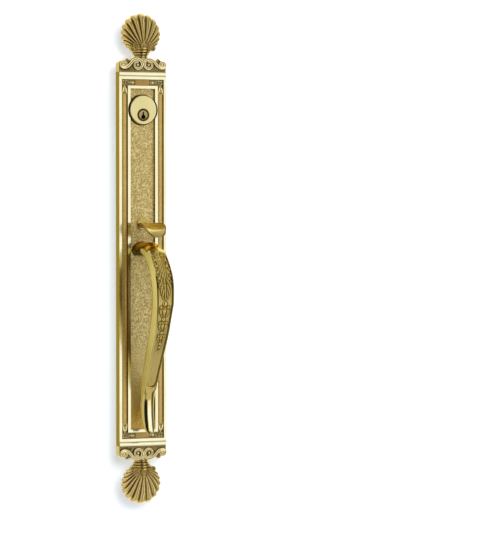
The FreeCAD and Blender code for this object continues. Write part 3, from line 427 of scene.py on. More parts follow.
def plate_ornament():
    """Reeds, corner leaves and beads in the sunk channel, and the mouldings at both ends."""
    reeds, ornament, band = Build(), Build(), Build()
    for side in (-1, 1):
        reeded_strip(reeds, side, REEDED_SIDE, FRAME_X, 1.35, 0.8, True)
        reeded_strip(reeds, side, REEDED_END, FRAME_Z, 1.2, 0.9, False)
        for hand in (-1, 1):
            corner_ornament(ornament, hand, side, side * (FRAME_Z - CHANNEL / 2))
    for side in (-1, 1):
        channel_ground(ornament, side)
    for side in (-1, 1):
        end_moulding(ornament, band, side)
    band.done("end_mouldings", "plate", BORDERS, "plate_brass")
    reeds.done("channel_reeds", "plate", REED, "plate_brass")
    ornament.done("channel_ornament", "plate", CREST, "plate_brass")


def panel_ground():
    """The stippled field inside the inner border: calmer towards its lower end, and warmer there with painted
    orange shade.
    """
    half_w = FRAME_X - CHANNEL - INNER
    half_l = FRAME_Z - CHANNEL - INNER
    step, cylinder_gap, hub_gap = 0.46, 17.6, 6.6
    cols, rows = int(2 * half_w / step), int(2 * half_l / step)
    x, z = np.meshgrid(np.linspace(-half_w, half_w, cols), np.linspace(-half_l, half_l, rows))
    bumps = smooth_noise((rows, cols), 2.2, 3)
    height = 0.26 + 0.50 * bumps * (1 - 0.65 * smooth_step((-140 - z) / 40))
    edge = np.minimum(np.minimum(half_w - np.abs(x), half_l - np.abs(z)) / 0.8, 1)
    y = PANEL_FLOOR - 0.06 - np.clip(height * edge, 0.0, 1)
    calm = 1 - 0.75 * smooth_step((-130 - z) / 45)
    # darker in the stipple's hollows and along the panel's edges, as antiquing and painted shade
    patina = 0.55 * calm * smooth_step(0.45 - 0.9 * bumps) + 0.7 * (1 - edge)
    # turned towards the orange second colour lower down, as painted shade
    patina = patina - 0.70 * smooth_step((-85 - z) / 100)
    keep = (np.hypot(x, z - CYLINDER_Z) > cylinder_gap) & (np.hypot(x, z - THUMB_Z) > hub_gap)
    faces = [f for f in grid_faces(rows, cols) if keep.flat[f[0]] and keep.flat[f[2]]]
    build = Build()
    build.add(points(x, y, z), faces, patina.ravel())
    build.done("panel_ground", "plate", GROUND, "plate_brass")


def cylinder_head():
    """Head and threaded barrel with the off-centre bore."""
    turn = full_turn(128)
    face, seat, end, pitch = HEAD_FACE, HEAD_FACE + 2.4, BARREL_END, 0.95

    def ring(radius, y, z):
        return points(radius * np.cos(turn), y, z + radius * np.sin(turn))

    bore = [(6.4, end), (6.4, face + 0.9), (6.85, face + 0.35), (7.15, face), (7.7, face), (8.1, face)]
    head = [(16.3, face), (16.7, face), (17.2, face + 0.15), (17.45, face + 0.6), (17.45, seat), (14.2, seat),
            (14.2, 0.5)]
    y = 0.5
    while y < end - 1.2:
        head += [(14.05, y + 0.05), (14.6, y + 0.4), (14.6, y + 0.55), (14.05, y + 0.9)]
        y += pitch
    head += [(14.05, end - 0.3), (13.8, end)]
    sections = [ring(r, y, PLUG_Z) for r, y in bore] + [ring(r, y, CYLINDER_Z) for r, y in head]
    sections.append(ring(6.4, end, PLUG_Z))
    # painted shade inside the bore and round its mouth, and a little at the head's rim
    tone = [0.9, 0.9, 0.9, 0.85, 0.8, 0.0, 0.0, 0.0, 0.0, 0.1] + [0.0] * (len(sections) - 11) + [0.9]
    build = Build()
    rings(build, sections, np.repeat(tone, len(turn)), caps=False)
    head = build.done("cylinder_head_and_barrel", "plate", SATIN, "cylinder_brass")
    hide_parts("cylinder_body")


def trim_ring():
    """Dark collar under the cylinder's head."""
    build = Build()
    profile = [(15.1, PANEL_FLOOR), (18.9, PANEL_FLOOR), (18.9, -8.6), (18.3, -10.2), (17.9, -10.95),
               (15.1, -10.95), (15.1, PANEL_FLOOR)]
    lathe(build, profile, (0, CYLINDER_Z), "y", 128, caps=False)
    collar = build.done("cylinder_trim_ring", "plate", DARK, "dark_brass")
    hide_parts("cylinder_collar")


def keyway():
    """The keyway's mouth and the dark line round the plug, as thin dark sheets of painted shade."""
    build = Build()
    front, back = HEAD_FACE - 0.13, 0.33
    mouth = [(-0.8, 3.7), (0.8, 3.7), (0.9, 0.9), (1.8, -0.4), (2.8, -1.9), (3.1, -3.2), (2.5, -4.5),
             (1.2, -5.1), (-0.7, -5.1), (-2.1, -4.6), (-2.8, -3.4), (-2.7, -2.0), (-1.8, -0.5), (-0.9, 0.9)]
    rings(build, [[(x, front + deep, PLUG_Z + z) for x, z in mouth] for deep in (0.0, back)], 1.0)
    line = [(5.6, back), (5.6, 0.0), (6.3, 0.0), (6.3, back), (5.6, back)]
    lathe(build, [(r, front + deep) for r, deep in line], (0, PLUG_Z), "y", 64, 0.3, caps=False)
    build.done("keyway_shade", "plug", DARK, "cylinder_brass")


# share of the reach, share of the width, heights of the edge, the hollow and the underside
PADDLE = [(0.00, 0.46, 4.3, 4.0, -0.6), (0.18, 0.55, 4.8, 3.1, -1.0), (0.42, 0.80, 4.9, 1.6, -2.2),
          (0.66, 1.00, 3.8, -0.2, -4.0), (0.84, 0.98, -0.4, -3.4, -7.4), (0.95, 0.76, -6.6, -8.4, -11.4),
          (1.00, 0.42, -11.0, -11.8, -13.4)]
PADDLE_FOOT, PADDLE_ROOT, PADDLE_REACH, PADDLE_HALF = THUMB_Z - 3.7, -13.6, 48.8, 13.8
NECK_HALF, TAIL_END, PIVOT_EYE = 2.6, 28.0, 2.35


def paddle(build):
    """The hollowed paddle, with painted shade along its rims, towards its tip and on its underside."""
    lane = np.linspace(-1, 1, 21)
    sections, tone = [], []
    for along, across, edge, middle, under in between(PADDLE, 10):
        skin = (edge - under) * 0.45
        top = [(u, middle + (edge - middle) * abs(u) ** 2.2) for u in lane]
        bottom = [(u, under + 0.6 + (edge - skin - under - 0.6) * abs(u) ** 3)
                  for u in np.linspace(0.985, -0.985, 21)]
        sections.append([(u * across * PADDLE_HALF, PADDLE_ROOT - along * PADDLE_REACH, PADDLE_FOOT + z)
                         for u, z in top + bottom])
        tip = 0.35 * smooth_step((along - 0.90) / 0.08)
        tone += [0.65 * smooth_step((abs(u) - 0.80) / 0.18) + tip for u in lane] + [0.45] * len(bottom)
    rings(build, sections, tone)


def thumbpiece():
    """Polished paddle with its neck, pivot eye, tail and heel."""
    build = Build()
    paddle(build)
    foot, root = PADDLE_FOOT, PADDLE_ROOT
    y, z = PIVOT
    side = np.array([
        (root - 2, foot), (y - PIVOT_EYE - 0.4, foot), (y - PIVOT_EYE, z - PIVOT_EYE),
        (y + PIVOT_EYE, z - PIVOT_EYE), (1.5, foot - 0.6), (TAIL_END, foot - 0.6), (TAIL_END, foot + 4.8),
        (0, foot + 4.8), (-0.6, foot + 8.4), (y - 0.2, foot + 8.4), (y - 0.4, foot + 4.0),
        (root - 2, foot + 4.0)], float)
    inward, ease = unit(side - side.mean(axis=0)), 0.35
    loops = [[(x, *point) for point in side - inward * shrink]
             for x, shrink in ((-NECK_HALF, ease), (-NECK_HALF + ease, 0.0), (NECK_HALF - ease, 0.0),
                               (NECK_HALF, ease))]
    rings(build, loops)
    piece = build.done("thumb_paddle", "thumb", THUMB, "polished_brass")
    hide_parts("thumbpiece")


# the grip's stations: depth and height of the front edge, of the rear edge, and the width, as shares
GRIP = [(0.000, 0.000, 0.000, 0.074, 1.21), (0.030, 0.002, 0.030, 0.066, 1.02),
        (0.070, 0.004, 0.065, 0.060, 0.90), (0.250, 0.002, 0.232, 0.062, 0.84),
        (0.460, 0.005, 0.410, 0.080, 0.86), (0.640, 0.044, 0.532, 0.112, 0.90),
        (0.815, 0.108, 0.642, 0.144, 0.96), (0.927, 0.166, 0.716, 0.178, 1.00),
        (0.990, 0.235, 0.772, 0.230, 1.00), (0.996, 0.305, 0.783, 0.292, 0.97),
        (0.928, 0.390, 0.703, 0.372, 0.86), (0.809, 0.492, 0.580, 0.468, 0.80),
        (0.604, 0.615, 0.394, 0.594, 0.73), (0.420, 0.734, 0.215, 0.726, 0.66),
        (0.305, 0.822, 0.178, 0.822, 0.68), (0.288, 0.878, 0.172, 0.878, 0.68),
        (0.322, 0.938, 0.225, 0.934, 0.66), (0.360, 0.976, 0.305, 0.974, 0.52),
        (0.384, 0.994, 0.357, 0.996, 0.28)]
GRIP_TOP, GRIP_DROP, GRIP_REACH, GRIP_HALF, GRIP_FRONT = 21.5, 235.0, 80.6, 11.4, -88.05
GRIP_STEP, LANES, CORNER_POINTS = 0.38, 65, 5
FOOT_Z, EAR_DEPTH, EAR_X = -189.0, -52.0, 3.1
# the recess: its ends, how far its top sags at the sides, the rim beside it, its depth, and the share kept
RECESS_TOP, RECESS_END, RECESS_SAG, RIM, CARVED, RELIEF = 9.0, -155.0, 4.0, 2.0, 2.6, 0.72
# tip across, tip height and size of the leaf's side lobes, then the same of the flames below them
LOBES = [(7.4, 3.2, 1.7), (7.9, -4.0, 1.8), (8.0, -11.2, 1.9), (8.0, -18.6, 1.9), (7.6, -26.0, 1.8)]
FLAMES = [(7.2, -35.0, 1.5), (5.6, -42.0, 1.4), (3.4, -47.5, 1.2)]
# place across and lower end of each stem beside the middle one
STEMS = [(5.0, -17.0), (3.5, -27.0), (2.1, -36.0)]
# top, length and half width of each husk, and height and radius of each bead
HUSKS = [(-56.0, 13.0, 6.5), (-75.0, 10.5, 5.8), (-91.0, 8.0, 4.8)]
BEADS = [(-52.5, 3.3), (-71.4, 2.7), (-88.0, 2.2), (-101.3, 2.0), (-105.6, 1.7), (-110.0, 1.5)]


class Relief:
    """Forms laid over each other, at points u from the middle line and at height z."""
    def __init__(self, u, z):
        self.u, self.z, self.height = u, z, np.zeros_like(u)

    def lay(self, top, near, moat):
        """Puts a form over what lies there, with a narrow sunk line round it; near is 1 at its edge."""
        self.height = np.where(near < 1, top, self.height * smooth_step((near - 1) / moat))

    def knob(self, u, z, radius, lift, moat=0.4):
        near = np.hypot(self.u - u, self.z - z) / radius
        self.lay(lift * np.sqrt(np.clip(1 - near * near, 0, 1)), near, moat)

    def ridge(self, path, width, lift, moat=0.4, fluted=False):
        """A tapered round ridge along a path from root to tip."""
        path = between(path, 22)
        share = np.linspace(0, 1, len(path))
        wide, high = (np.interp(share, np.linspace(0, 1, len(given)), given) for given in (width, lift))
        top, near = np.zeros_like(self.u), np.full_like(self.u, 99.0)
        for (u, z), w, h in zip(path, wide, high):
            d = np.hypot(self.u - u, self.z - z) / w
            top = np.maximum(top, h * np.sqrt(np.clip(1 - d * d, 0, 1)))
            near = np.minimum(near, d)
        if fluted:
            top = np.maximum(top - 0.4 * (1 + np.cos(2 * math.pi * self.u / 1.4)), 0.3)
        self.lay(top, near, moat)

    def leaf(self):
        """Pointed flames below, round eyed lobes up both edges, and stems down the middle."""
        for x, z, size in reversed(FLAMES):
            self.ridge([(1.6, z + 20.0), (0.50 * x, z + 12.0), (0.92 * x, z + 5.0), (x, z)],
                       (0.7, 1.1 * size, 0.95 * size, 0.4), (1.6, 2.3, 2.2, 1.2))
        for x, z, size in reversed(LOBES):
            self.ridge([(2.6, z + 12.0), (0.62 * x, z + 7.5), (0.92 * x, z + 3.0)],
                       (0.8, 0.9 * size, 1.1 * size), (1.5, 2.0, 2.1))
            self.knob(x, z + 0.6, 1.15 * size, 2.3, 0.35)
            self.knob(x - 0.5, z + 0.9, 0.45 * size, 2.6, 0.7)
        for x, low in STEMS:
            self.ridge([(0.8 * x, 8.0), (x, -1.0), (0.9 * x, low + 13.0), (0.55 * x, low)],
                       (0.6, 0.85, 0.8, 0.35), (1.9, 2.4, 2.4, 1.6), 0.5)
        self.ridge([(0, 9), (0, -14), (0, -34), (0, -47)], (1.2, 1.0, 1.3, 0.8), (2.3, 2.5, 2.6, 2.2), 0.5)

    def husk(self, top, length, half):
        """A fluted drop between two petals with round ends."""
        self.ridge([(0, top - 1.0), (0, top - 0.45 * length), (0, top - length)], (0.8, 0.40 * half, 0.3),
                   (1.8, 2.4, 1.6), 0.30, True)
        petal = [(0.5, top), (0.70 * half, top - 0.22 * length), (0.70 * half, top - 0.62 * length),
                 (0.28 * half, top - 0.97 * length)]
        self.ridge(petal, (0.7, 0.32 * half, 0.26 * half, 0.3), (1.8, 2.5, 2.2, 1.4))
        self.knob(0.74 * half, top - 0.8, 0.32 * half, 2.6)
        self.knob(0.52 * half, top - 0.84 * length, 0.20 * half, 2.4)


def carving(x, z):
    """Height of the leaf, husks and beads above the recess's ground."""
    relief = Relief(np.abs(x), z)
    relief.leaf()
    for sizes in HUSKS:
        relief.husk(*sizes)
    for bead_z, radius in BEADS:
        relief.knob(0, bead_z, radius, 2.6, 0.30)
    return relief.height


def grip_edges():
    """The grip's front and rear edge (depth, height) and half width, at even steps down it."""
    fine, start, scale = between(GRIP, 40), (PANEL_FLOOR, GRIP_TOP), (GRIP_REACH, GRIP_DROP)
    front, rear = (start - fine[:, k:k + 2] * scale for k in (0, 2))
    line = front * 0.7 + (front + rear) / 2 * 0.3
    run = np.concatenate([[0], np.cumsum(np.linalg.norm(np.diff(line, axis=0), axis=1))])
    even = np.linspace(0, run[-1], int(run[-1] / GRIP_STEP))
    pick = lambda values: np.interp(even, run, values)
    front, rear = (np.stack([pick(edge[:, 0]), pick(edge[:, 1])], -1) for edge in (front, rear))
    front[:, 0] = np.maximum(front[:, 0], GRIP_FRONT)
    return front, rear, pick(fine[:, 4] * GRIP_HALF)


def recess(front_z, half, rim, lane):
    """How far the grip's face is sunk, and its tone, at each row and lane: darker as antiquing and painted
    shade, lighter as painted highlight.
    """
    radius = (half - rim)[:, None]
    x = radius * lane[None, :]
    z = np.repeat(front_z[:, None], len(lane), 1)
    ground = 0.05 + 0.10 * smooth_noise(x.shape, 3.2, 11)
    level = np.maximum(carving(x, z), ground)
    below_top = RECESS_TOP - RECESS_SAG * lane[None, :] ** 2 - z
    at_end = RECESS_END + radius - z
    from_middle = np.hypot(x, np.clip(at_end, 0, None))
    edge_gap, at_end = radius - from_middle, at_end > 0
    inside = smooth_step(below_top / 0.8) * (from_middle < radius * 1.001)
    roll = 0.80 * hump(below_top + 1.3, 1.1) + 0.35 * at_end * hump(edge_gap + 0.7, 0.6)
    sink = RELIEF * inside * np.clip(CARVED - level, 0.05, None) - roll

    # the bare ground, the grooves along the recess's edges and the hollows of the carving are darker, as
    # antiquing and painted shade; the carving's tops and the rim at the lower end are lighter, as painted
    # highlight
    groove = (smooth_step((np.abs(lane)[None, :] - 0.90) / 0.08) + smooth_step(1.2 - below_top / 1.4)
              + at_end * smooth_step(1.3 - edge_gap / 0.9))
    deep = 0.16 + 0.20 * smooth_step((z + 118) / 14) + 0.12 * smooth_step((z + 52) / 10)
    bare = smooth_step(1 - level / 0.9)
    gaps = smooth_step(hollows(-sink, 4, 1.6)) * (z > -112)
    lightening = smooth_step((level - 0.9) / 1.0)
    patina = inside * np.clip(bare * deep + 0.45 * gaps + 0.55 * groove - 0.75 * lightening, -0.75, 0.88)
    return sink, patina - 0.8 * at_end * hump(edge_gap + 1.0, 0.7)


def flat_face(w, d, rim, sunk, lane):
    """Half width and depth to a face: flat and sunk by lane, then a small round corner."""
    corner = min(0.45 * rim, 0.3 * d, 0.4 * w)
    inner = min(w - rim, w - corner - 0.2)
    skin = [(inner * u, deep) for u, deep in zip(lane, sunk)]
    skin += [(inner + 0.12, 0.0), (w - corner, 0.27)]
    skin += [(w - corner + corner * math.sin(a), 0.27 + corner * (1 - math.cos(a)))
             for a in np.linspace(0.35, math.pi / 2, CORNER_POINTS)]
    return np.array(skin)


def bowed_face(w, d, lane):
    """The tongue's face, slightly bowed, with eased edges."""
    slant, ease = math.radians(25), min(1.5, 0.4 * w)
    turn = slant + (math.pi / 2 - slant) * np.linspace(0, 1, 8)[1:]
    big, small = (w - ease) / math.sin(slant), ease / (1 - math.sin(slant))
    face = np.stack([big * np.sin(slant * lane), big * (1 - np.cos(slant * lane))], -1)
    edge = np.stack([w - ease + small * (np.sin(turn) - math.sin(slant)),
                     big * (1 - math.cos(slant)) + small * (math.cos(slant) - np.cos(turn))], -1)
    skin = np.concatenate([face, edge])
    skin[:, 1] *= min(1.0, 0.5 * d / skin[-1, 1])
    return skin


def round_face(w, d, lane):
    """The arm's face, round from side to side."""
    turn = np.radians(np.concatenate([66 * lane, [68, 71, 75, 79, 83, 87, 90]]))
    return np.stack([w * np.sin(turn), min(0.85 * w, 0.6 * d) * (1 - np.cos(turn))], -1)


def grip_section(w, d, skin, tone, at_root, shade_on_sides):
    """A ring of (across, depth, tone): the face's points, the sides, with painted shade near the root, and
    the rounded back, dark with painted shade.
    """
    back = min(1.4 + 4.2 * at_root, 0.33 * d, 0.5 * w)
    face = [(x, y, k) for (x, y), k in zip(skin, tone)]
    right, low = face[LANES:], skin[-1, 1]
    right += [(w, low + (d - low - back) * share, patina)
              for share, patina in ((0.03, shade_on_sides), (0.5, shade_on_sides), (0.90, max(shade_on_sides, 0.1)))]
    right += [(w - back + back * math.cos(a), d - back + back * math.sin(a), 0.85)
              for a in np.linspace(0.15, math.pi / 2, 5)]
    return face[:LANES] + right + [(-x, y, k) for x, y, k in reversed(right)]


def grip_finish_and_shade(cols, at_root, rounded):
    """Each face's material: 0 polished, 1 brushed on the sides, 2 the arm's darker orange brass, which paints
    shade and orange reflection on the arm.
    """
    first = LANES + 1 + CORNER_POINTS
    sides = [*range(first, first + 4)]
    sides += [LANES + cols - 2 - k for k in sides]
    finish_and_shade = np.zeros((len(rounded) - 1, cols), int)
    finish_and_shade[:, [*range(first), *range(cols - 8, cols)]] = 2 * (rounded[:-1, None] > 0.35)
    finish_and_shade[:, sides] = at_root[:-1, None] <= 0.4
    return finish_and_shade.ravel().tolist()


def foot_and_ears(build, y, z, rear_y):
    """The foot that joins the bar to the panel, and a small ear on each side of the arm."""
    row = int(np.argmin(np.abs(z - FOOT_Z)))
    foot = [(5.2, PANEL_FLOOR), (5.2, -8.4), (4.8, -9.0), (4.8, (y[row] + rear_y[row]) / 2)]
    lathe(build, foot, (0, FOOT_Z), "y", 40)
    row = int(np.argmin(np.abs(y - EAR_DEPTH) + 100 * (z < 0)))
    ear = [(1.5 * math.sin(a), EAR_DEPTH - 1.5 * math.cos(a)) for a in np.linspace(0.05, math.pi - 0.05, 12)]
    # the ears are coloured dark
    for side in (-1, 1):
        lathe(build, ear, (side * EAR_X, z[row] - 0.9), "y", 20, 0.75)


def grip():
    """The whole casting: round root and arm, carved bar, smooth tongue, foot and ears."""
    front, rear, half = grip_edges()
    depth = np.linalg.norm(rear - front, axis=1)
    inward = (rear - front) / depth[:, None]
    lane, (y, z) = np.linspace(-1, 1, LANES), front.T
    rim = RIM - 1.05 * smooth_step((z + 28) / 24)
    sink, patina_field = recess(z, half, rim, lane)
    tongue = smooth_step((RECESS_END - 1.0 - z) / 9.0)
    rounded = smooth_step((z - RECESS_TOP - 2.5) / 6.0)
    at_root = smooth_step((y + 36) / 14) * (z > 0)
    # painted shade at the arm's root, near the door
    shade = 0.75 * smooth_step((y + 19.0) / 9.0) * (z > 0)
    # painted highlight on the tongue's face, from a little left of its middle to its right side
    lightening = 0.85 * smooth_step((-166 - z) / 22)
    sections, patina = [], []
    for row, (w, d) in enumerate(zip(half, depth)):
        skin = blend(flat_face(w, d, rim[row], sink[row], lane), bowed_face(w, d, lane), tongue[row])
        skin = blend(skin, round_face(w, d, lane), rounded[row])
        tone = np.maximum(patina_field[row], shade[row]) - lightening[row] * smooth_step((lane + 0.45) / 0.3)
        tone = np.concatenate([tone, [shade[row]] * (2 + CORNER_POINTS)])
        x, deep, tone = np.array(grip_section(w, d, skin, tone, at_root[row], shade[row])).T
        sections.append(points(x, y[row] + inward[row, 0] * deep, z[row] + inward[row, 1] * deep))
        patina.append(tone)
    build = Build()
    rings(build, sections, np.concatenate(patina))
    finish_and_shade = grip_finish_and_shade(len(x), at_root, rounded)
    foot_and_ears(build, y, z, rear[:, 0])
    finish_and_shade += [0] * (len(build.faces) - len(finish_and_shade))
    piece = build.done("grip_casting", "plate", POLISHED, "polished_brass", (FLAT_SIDE, ARM), finish_and_shade)
    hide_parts("grip")


# the crest: its ground, its bands' height and width, its reach, and the middles of its spirals
CREST_GROUND, BAND_HEIGHT, BAND_WIDTH, CREST_REACH = -10.8, 3.0, 3.5, 13.8
OUTER_SPIRAL, INNER_SPIRAL = (25.2, 8.8), (7.2, 8.8)
# right half of the slab's outline after its round corner: x and the distance beyond the plate's end
CREST_EDGE = [(22.6, 14.6), (21.0, 15.7), (19.2, 15.2), (18.0, 13.9), (16.2, 14.2), (14.0, 15.4),
              (11.5, 16.8), (9.0, 17.5), (7.0, 17.7), (5.0, 17.5), (3.6, 16.9), (3.0, 17.2)]
# x, distance beyond the plate's end, size and tilt of the small leaves
CREST_LEAVES = [(21.6, 14.4, 1.5, 0.5), (19.6, 14.9, 1.3, 0.0), (17.9, 13.4, 1.2, -0.6),
                (19.6, 12.2, 1.4, 0.1), (14.5, 4.6, 1.6, 0.8), (16.6, 6.2, 1.3, 0.5), (13.0, 2.6, 1.3, 1.0)]
# share of the band's half width, share of its height, and tone: darker as antiquing and painted shade at the
# edges and in the sunk line, lighter as painted highlight on the top
HALF_BAND = [(-1.0, -0.3, 0.9), (-1.0, 0.7, 0.7), (-0.96, 0.94, 0.1), (-0.88, 1.0, -0.2), (-0.60, 1.02, -0.3),
             (-0.30, 1.0, -0.1), (-0.16, 0.75, 0.50)]
BAND = HALF_BAND + [(0.0, 0.66, 0.70)] + [(-across, h, tone) for across, h, tone in reversed(HALF_BAND)]


def beyond(up, v):
    """Height of what lies v beyond the plate's upper (1) or lower (-1) end."""
    return up * (PLATE_Z + v)


def spiral(centre, start, end, first, last, steps, bend=1.0):
    """Points round a centre from one angle and radius to others."""
    share = np.linspace(0, 1, steps + 1)
    angle = np.radians(start + (end - start) * share)
    radius = first + (last - first) * share ** bend
    return np.stack([centre[0] + radius * np.cos(angle), centre[1] + radius * np.sin(angle)], -1)


def scroll_line():
    """The middle of the right-hand S scroll, as x and the distance beyond the plate's end."""
    outer, inner, wide = OUTER_SPIRAL, INNER_SPIRAL, 7.0
    first = np.concatenate([spiral(outer, 330, 150, 2.9, 3.3, 16), spiral(outer, 150, -90, 3.3, 3.7, 24)[1:]])
    start, end = first[-1], np.array([inner[0], inner[1] + wide])
    handle = 0.5 * (outer[0] - inner[0])
    t = np.linspace(0, 1, 24)[1:-1, None]
    p1, p2 = start - (handle, 0), end + (handle, 0)
    fall = (1 - t) ** 3 * start + 3 * t * (1 - t) ** 2 * p1 + 3 * t * t * (1 - t) * p2 + t ** 3 * end
    return np.concatenate([first, fall, spiral(inner, 90, 470, wide, 3.5, 54, 0.7)])


def fluted_band(build, line, side, up):
    """A band with a sunk line along it; side mirrors it and up turns it over."""
    verts = []
    for (x, v), (nv, nx), share in zip(line, unit(np.gradient(line, axis=0)), np.linspace(0, 1, len(line))):
        ease = np.interp(share, (0, 0.15, 0.38, 0.60, 0.75, 1), (0.66, 0.80, 1.0, 1.0, 0.80, 0.66))
        for across, h, _ in BAND:
            w = across * BAND_WIDTH / 2 * ease
            verts.append((side * (x - nx * w), CREST_GROUND - BAND_HEIGHT * h, beyond(up, v + nv * w)))
    build.add(verts, grid_faces(len(line), len(BAND)), [tone for _, _, tone in BAND] * len(line))


def crest_slab(build, up):
    """The casting's flat ground with its curved outline."""
    half, ground = PLATE_X, CREST_GROUND
    x, v = OUTER_SPIRAL
    corner = spiral(OUTER_SPIRAL, 5, 90, half - x, CREST_REACH - v, 14)
    edge = [(half, 0.0), (half, 4.0)] + corner.tolist() + CREST_EDGE
    outline = np.array(edge + [(-x, v) for x, v in reversed(edge)])
    inward, loops = unit(outline - (0.0, 6.0)), []
    for y, shrink in ((0.0, 0.0), (ground + 1.2, 0.0), (ground + 0.3, 0.25), (ground, 0.7)):
        x, v = (outline - inward * shrink).T
        loops.append(points(x, y, beyond(up, np.maximum(v, 0))))
    # the flat ground darker, as antiquing and painted shade
    rings(build, loops, np.repeat([0.0, 0.0, 0.15, 0.66], len(outline)))


def crest(place, up):
    """One crest casting, with the lug behind the plate."""
    ground, build = CREST_GROUND, Build()
    crest_slab(build, up)
    for side in (-1, 1):
        fluted_band(build, scroll_line(), side, up)
        # the bosses lighter, as painted highlight; the small leaves and domes a little darker
        for (x, v), r in ((OUTER_SPIRAL, 1.3), (INNER_SPIRAL, 1.6)):
            boss = [(r, ground), (r, ground - 2.0), (0.90 * r, ground - 2.55), (0.78 * r, ground - 2.70),
                    (0.05, ground - 2.73)]
            lathe(build, boss, (side * x, beyond(up, v)), "y", 24, -0.6)
        for x, v, r, tilt in CREST_LEAVES:
            dome(build, (side * x, ground, beyond(up, v)), r, 1.9, 14, 0.25, (0.75, 1.35), side * tilt)
        for k in range(12):
            lean = side * (0.65 if k % 2 else -0.65)
            foot = (side * (1.6 + 2.45 * k), ground, beyond(up, 1.7))
            dome(build, foot, 1.15, 1.5, 12, 0.2, (0.7, 1.35), lean)
    dome(build, (0, ground - 1.2, beyond(up, 11.6)), 1.7, 2.3, 20)
    dome(build, (0, ground - 0.6, beyond(up, 4.2)), 1.6, 1.7, 16, 0.2, (0.8, 1.5))
    # the drop lighter, as painted highlight
    drop = [(0.5, 12.4), (1.2, 13.4), (2.0, 15.0), (2.9, 16.6), (3.2, 17.3), (2.7, 17.68)]
    lathe(build, [(r, beyond(up, v)) for r, v in drop], (0, ground - 2.4), "z", 28, -0.4)
    lug = [(-11, -4.4), (11, -4.4), (11, -1.8), (-11, -1.8)]
    rings(build, [[(x, y, beyond(up, v)) for x, y in lug] for v in (-15.0, 1.0)])
    piece = build.done(f"scroll_crest_{place}", "plate", CREST, "ornament_brass")
    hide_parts(f"crest_{place}")


# the shell, as distances beyond the plate's end: where its ribs meet, its middle, and its radius
SHELL_FOCUS, SHELL_MIDDLE, SHELL_RADIUS = 28.0, 47.2, 22.3
SHELL_RIM, SHELL_RISE, SHELL_BACK, RIB_HEIGHT = 5.4, 9.0, -0.8, 3.1
# the last place between ribs on each side, and the points across each rib
SHELL_ENDS, PER_RIB = 7.5, 16
NECK_START, NECK_END, NECK_AXIS, NECK_BACK, NECK_RINGS = 18.0, 27.0, -4.6, -0.6, 3
# across, tilt and size of each tongue at the shell's root
TONGUES = [(0, 0, 1.12), (9.2, 0.30, 0.95), (-9.2, -0.30, 0.95), (13.8, 0.60, 0.60), (-13.8, -0.60, 0.60)]


def rib_line(place, shares, lightening):
    """Points (x, y, v, tone) from the rim towards the focus, at one place across the ribs; the tone paints
    shade between the ribs and a highlight on their crests.
    """
    around = math.radians(25.7 * place - 0.957 * place * abs(place))
    swell = max(1 - (2 * (place - round(place))) ** 2, 0)
    reach = SHELL_RADIUS - 0.75 + 3.0 * swell ** 0.65
    start = np.array([0.0, SHELL_FOCUS])
    chord = np.array([reach * math.sin(around), SHELL_MIDDLE + reach * math.cos(around)]) - start
    cross = np.array([-chord[1], chord[0]]) / np.linalg.norm(chord)
    bow = 2.6 * math.sin(min(abs(around), 2.6)) * (1 if around < 0 else -1)
    line = []
    for share in shares:
        x, v = start + chord * share + cross * bow * 4 * share * (1 - share) * 0.6
        crown = swell ** (0.62 + 0.75 * (1 - share))
        rise = SHELL_RISE * (1 - share ** 2.4) ** 0.55
        rise += RIB_HEIGHT * math.sqrt(share) * crown * min(1.0, (1 - share) * 8 + 0.35)
        line.append((x, -SHELL_RIM - rise, v, 0.92 * (1 - crown) ** 1.5 - 0.12 * (crown > 0.93) - lightening))
    return line


def fan(build, up):
    """The ribbed scallop with its rim and back, both a little darker; the lower one is coloured lighter."""
    lightening = 0.0 if up > 0 else 0.22
    places = np.linspace(-SHELL_ENDS, SHELL_ENDS, int(2 * SHELL_ENDS * PER_RIB) + 1)
    shares = np.concatenate([[1.0], 1 - np.linspace(0, 1, 34)[1:] ** 1.6 * 0.82])
    columns = []
    for place in places:
        line = rib_line(place, shares, lightening)
        (tip_x, _, tip_v, _), (root_x, _, root_v, _) = line[0], line[-1]
        columns.append([(tip_x, SHELL_BACK, tip_v, 0.3), (tip_x, -SHELL_RIM + 0.5, tip_v, 0.2)] + line
                       + [(root_x, SHELL_BACK, root_v, 0.3)])
    data = np.array(columns)
    rows, cols = data.shape[:2]
    x, y, v, patina = data.reshape(-1, 4).T
    faces = grid_faces(rows, cols)
    faces += [((r + 1) * cols, r * cols, (r + 1) * cols - 1, (r + 2) * cols - 1) for r in range(rows - 1)]
    faces += [tuple(range(cols)), tuple(reversed(range((rows - 1) * cols, rows * cols)))]
    build.add(points(x, y, beyond(up, v)), faces, patina)


def neck(build, up):
    """The three rings between crest and shell, flat behind."""
    pitch, per_ring = (NECK_END - NECK_START) / NECK_RINGS, 10
    profile = []
    for k in range(NECK_RINGS):
        low, r = NECK_START + k * pitch, 8.6 + k * 1.9
        profile += [(r - 0.9 + 0.9 * math.cos(a), low + pitch * 0.42 + pitch * 0.40 * math.sin(a) / 0.96)
                    for a in np.linspace(-1.3, 1.3, per_ring - 1)]
        profile.append((r - 1.15, low + pitch * 0.98))
    grooves = [k for k in range(len(profile)) if k % per_ring in (per_ring - 1, 0)]
    profile += [(12.4, 27.2), (13.3, 27.9), (13.3, 29.2)]
    turn, sections, tone = full_turn(64), [], []
    for k, (r, v) in enumerate(profile):
        y = np.minimum(NECK_AXIS + r * 0.95 * np.sin(turn), NECK_BACK)
        sections.append(points(r * np.cos(turn), y, beyond(up, v)))
        # darker in the grooves between the rings, as antiquing and painted shade
        tone += [0.85 if k in grooves else 0.05] * len(turn)
    rings(build, sections, tone)


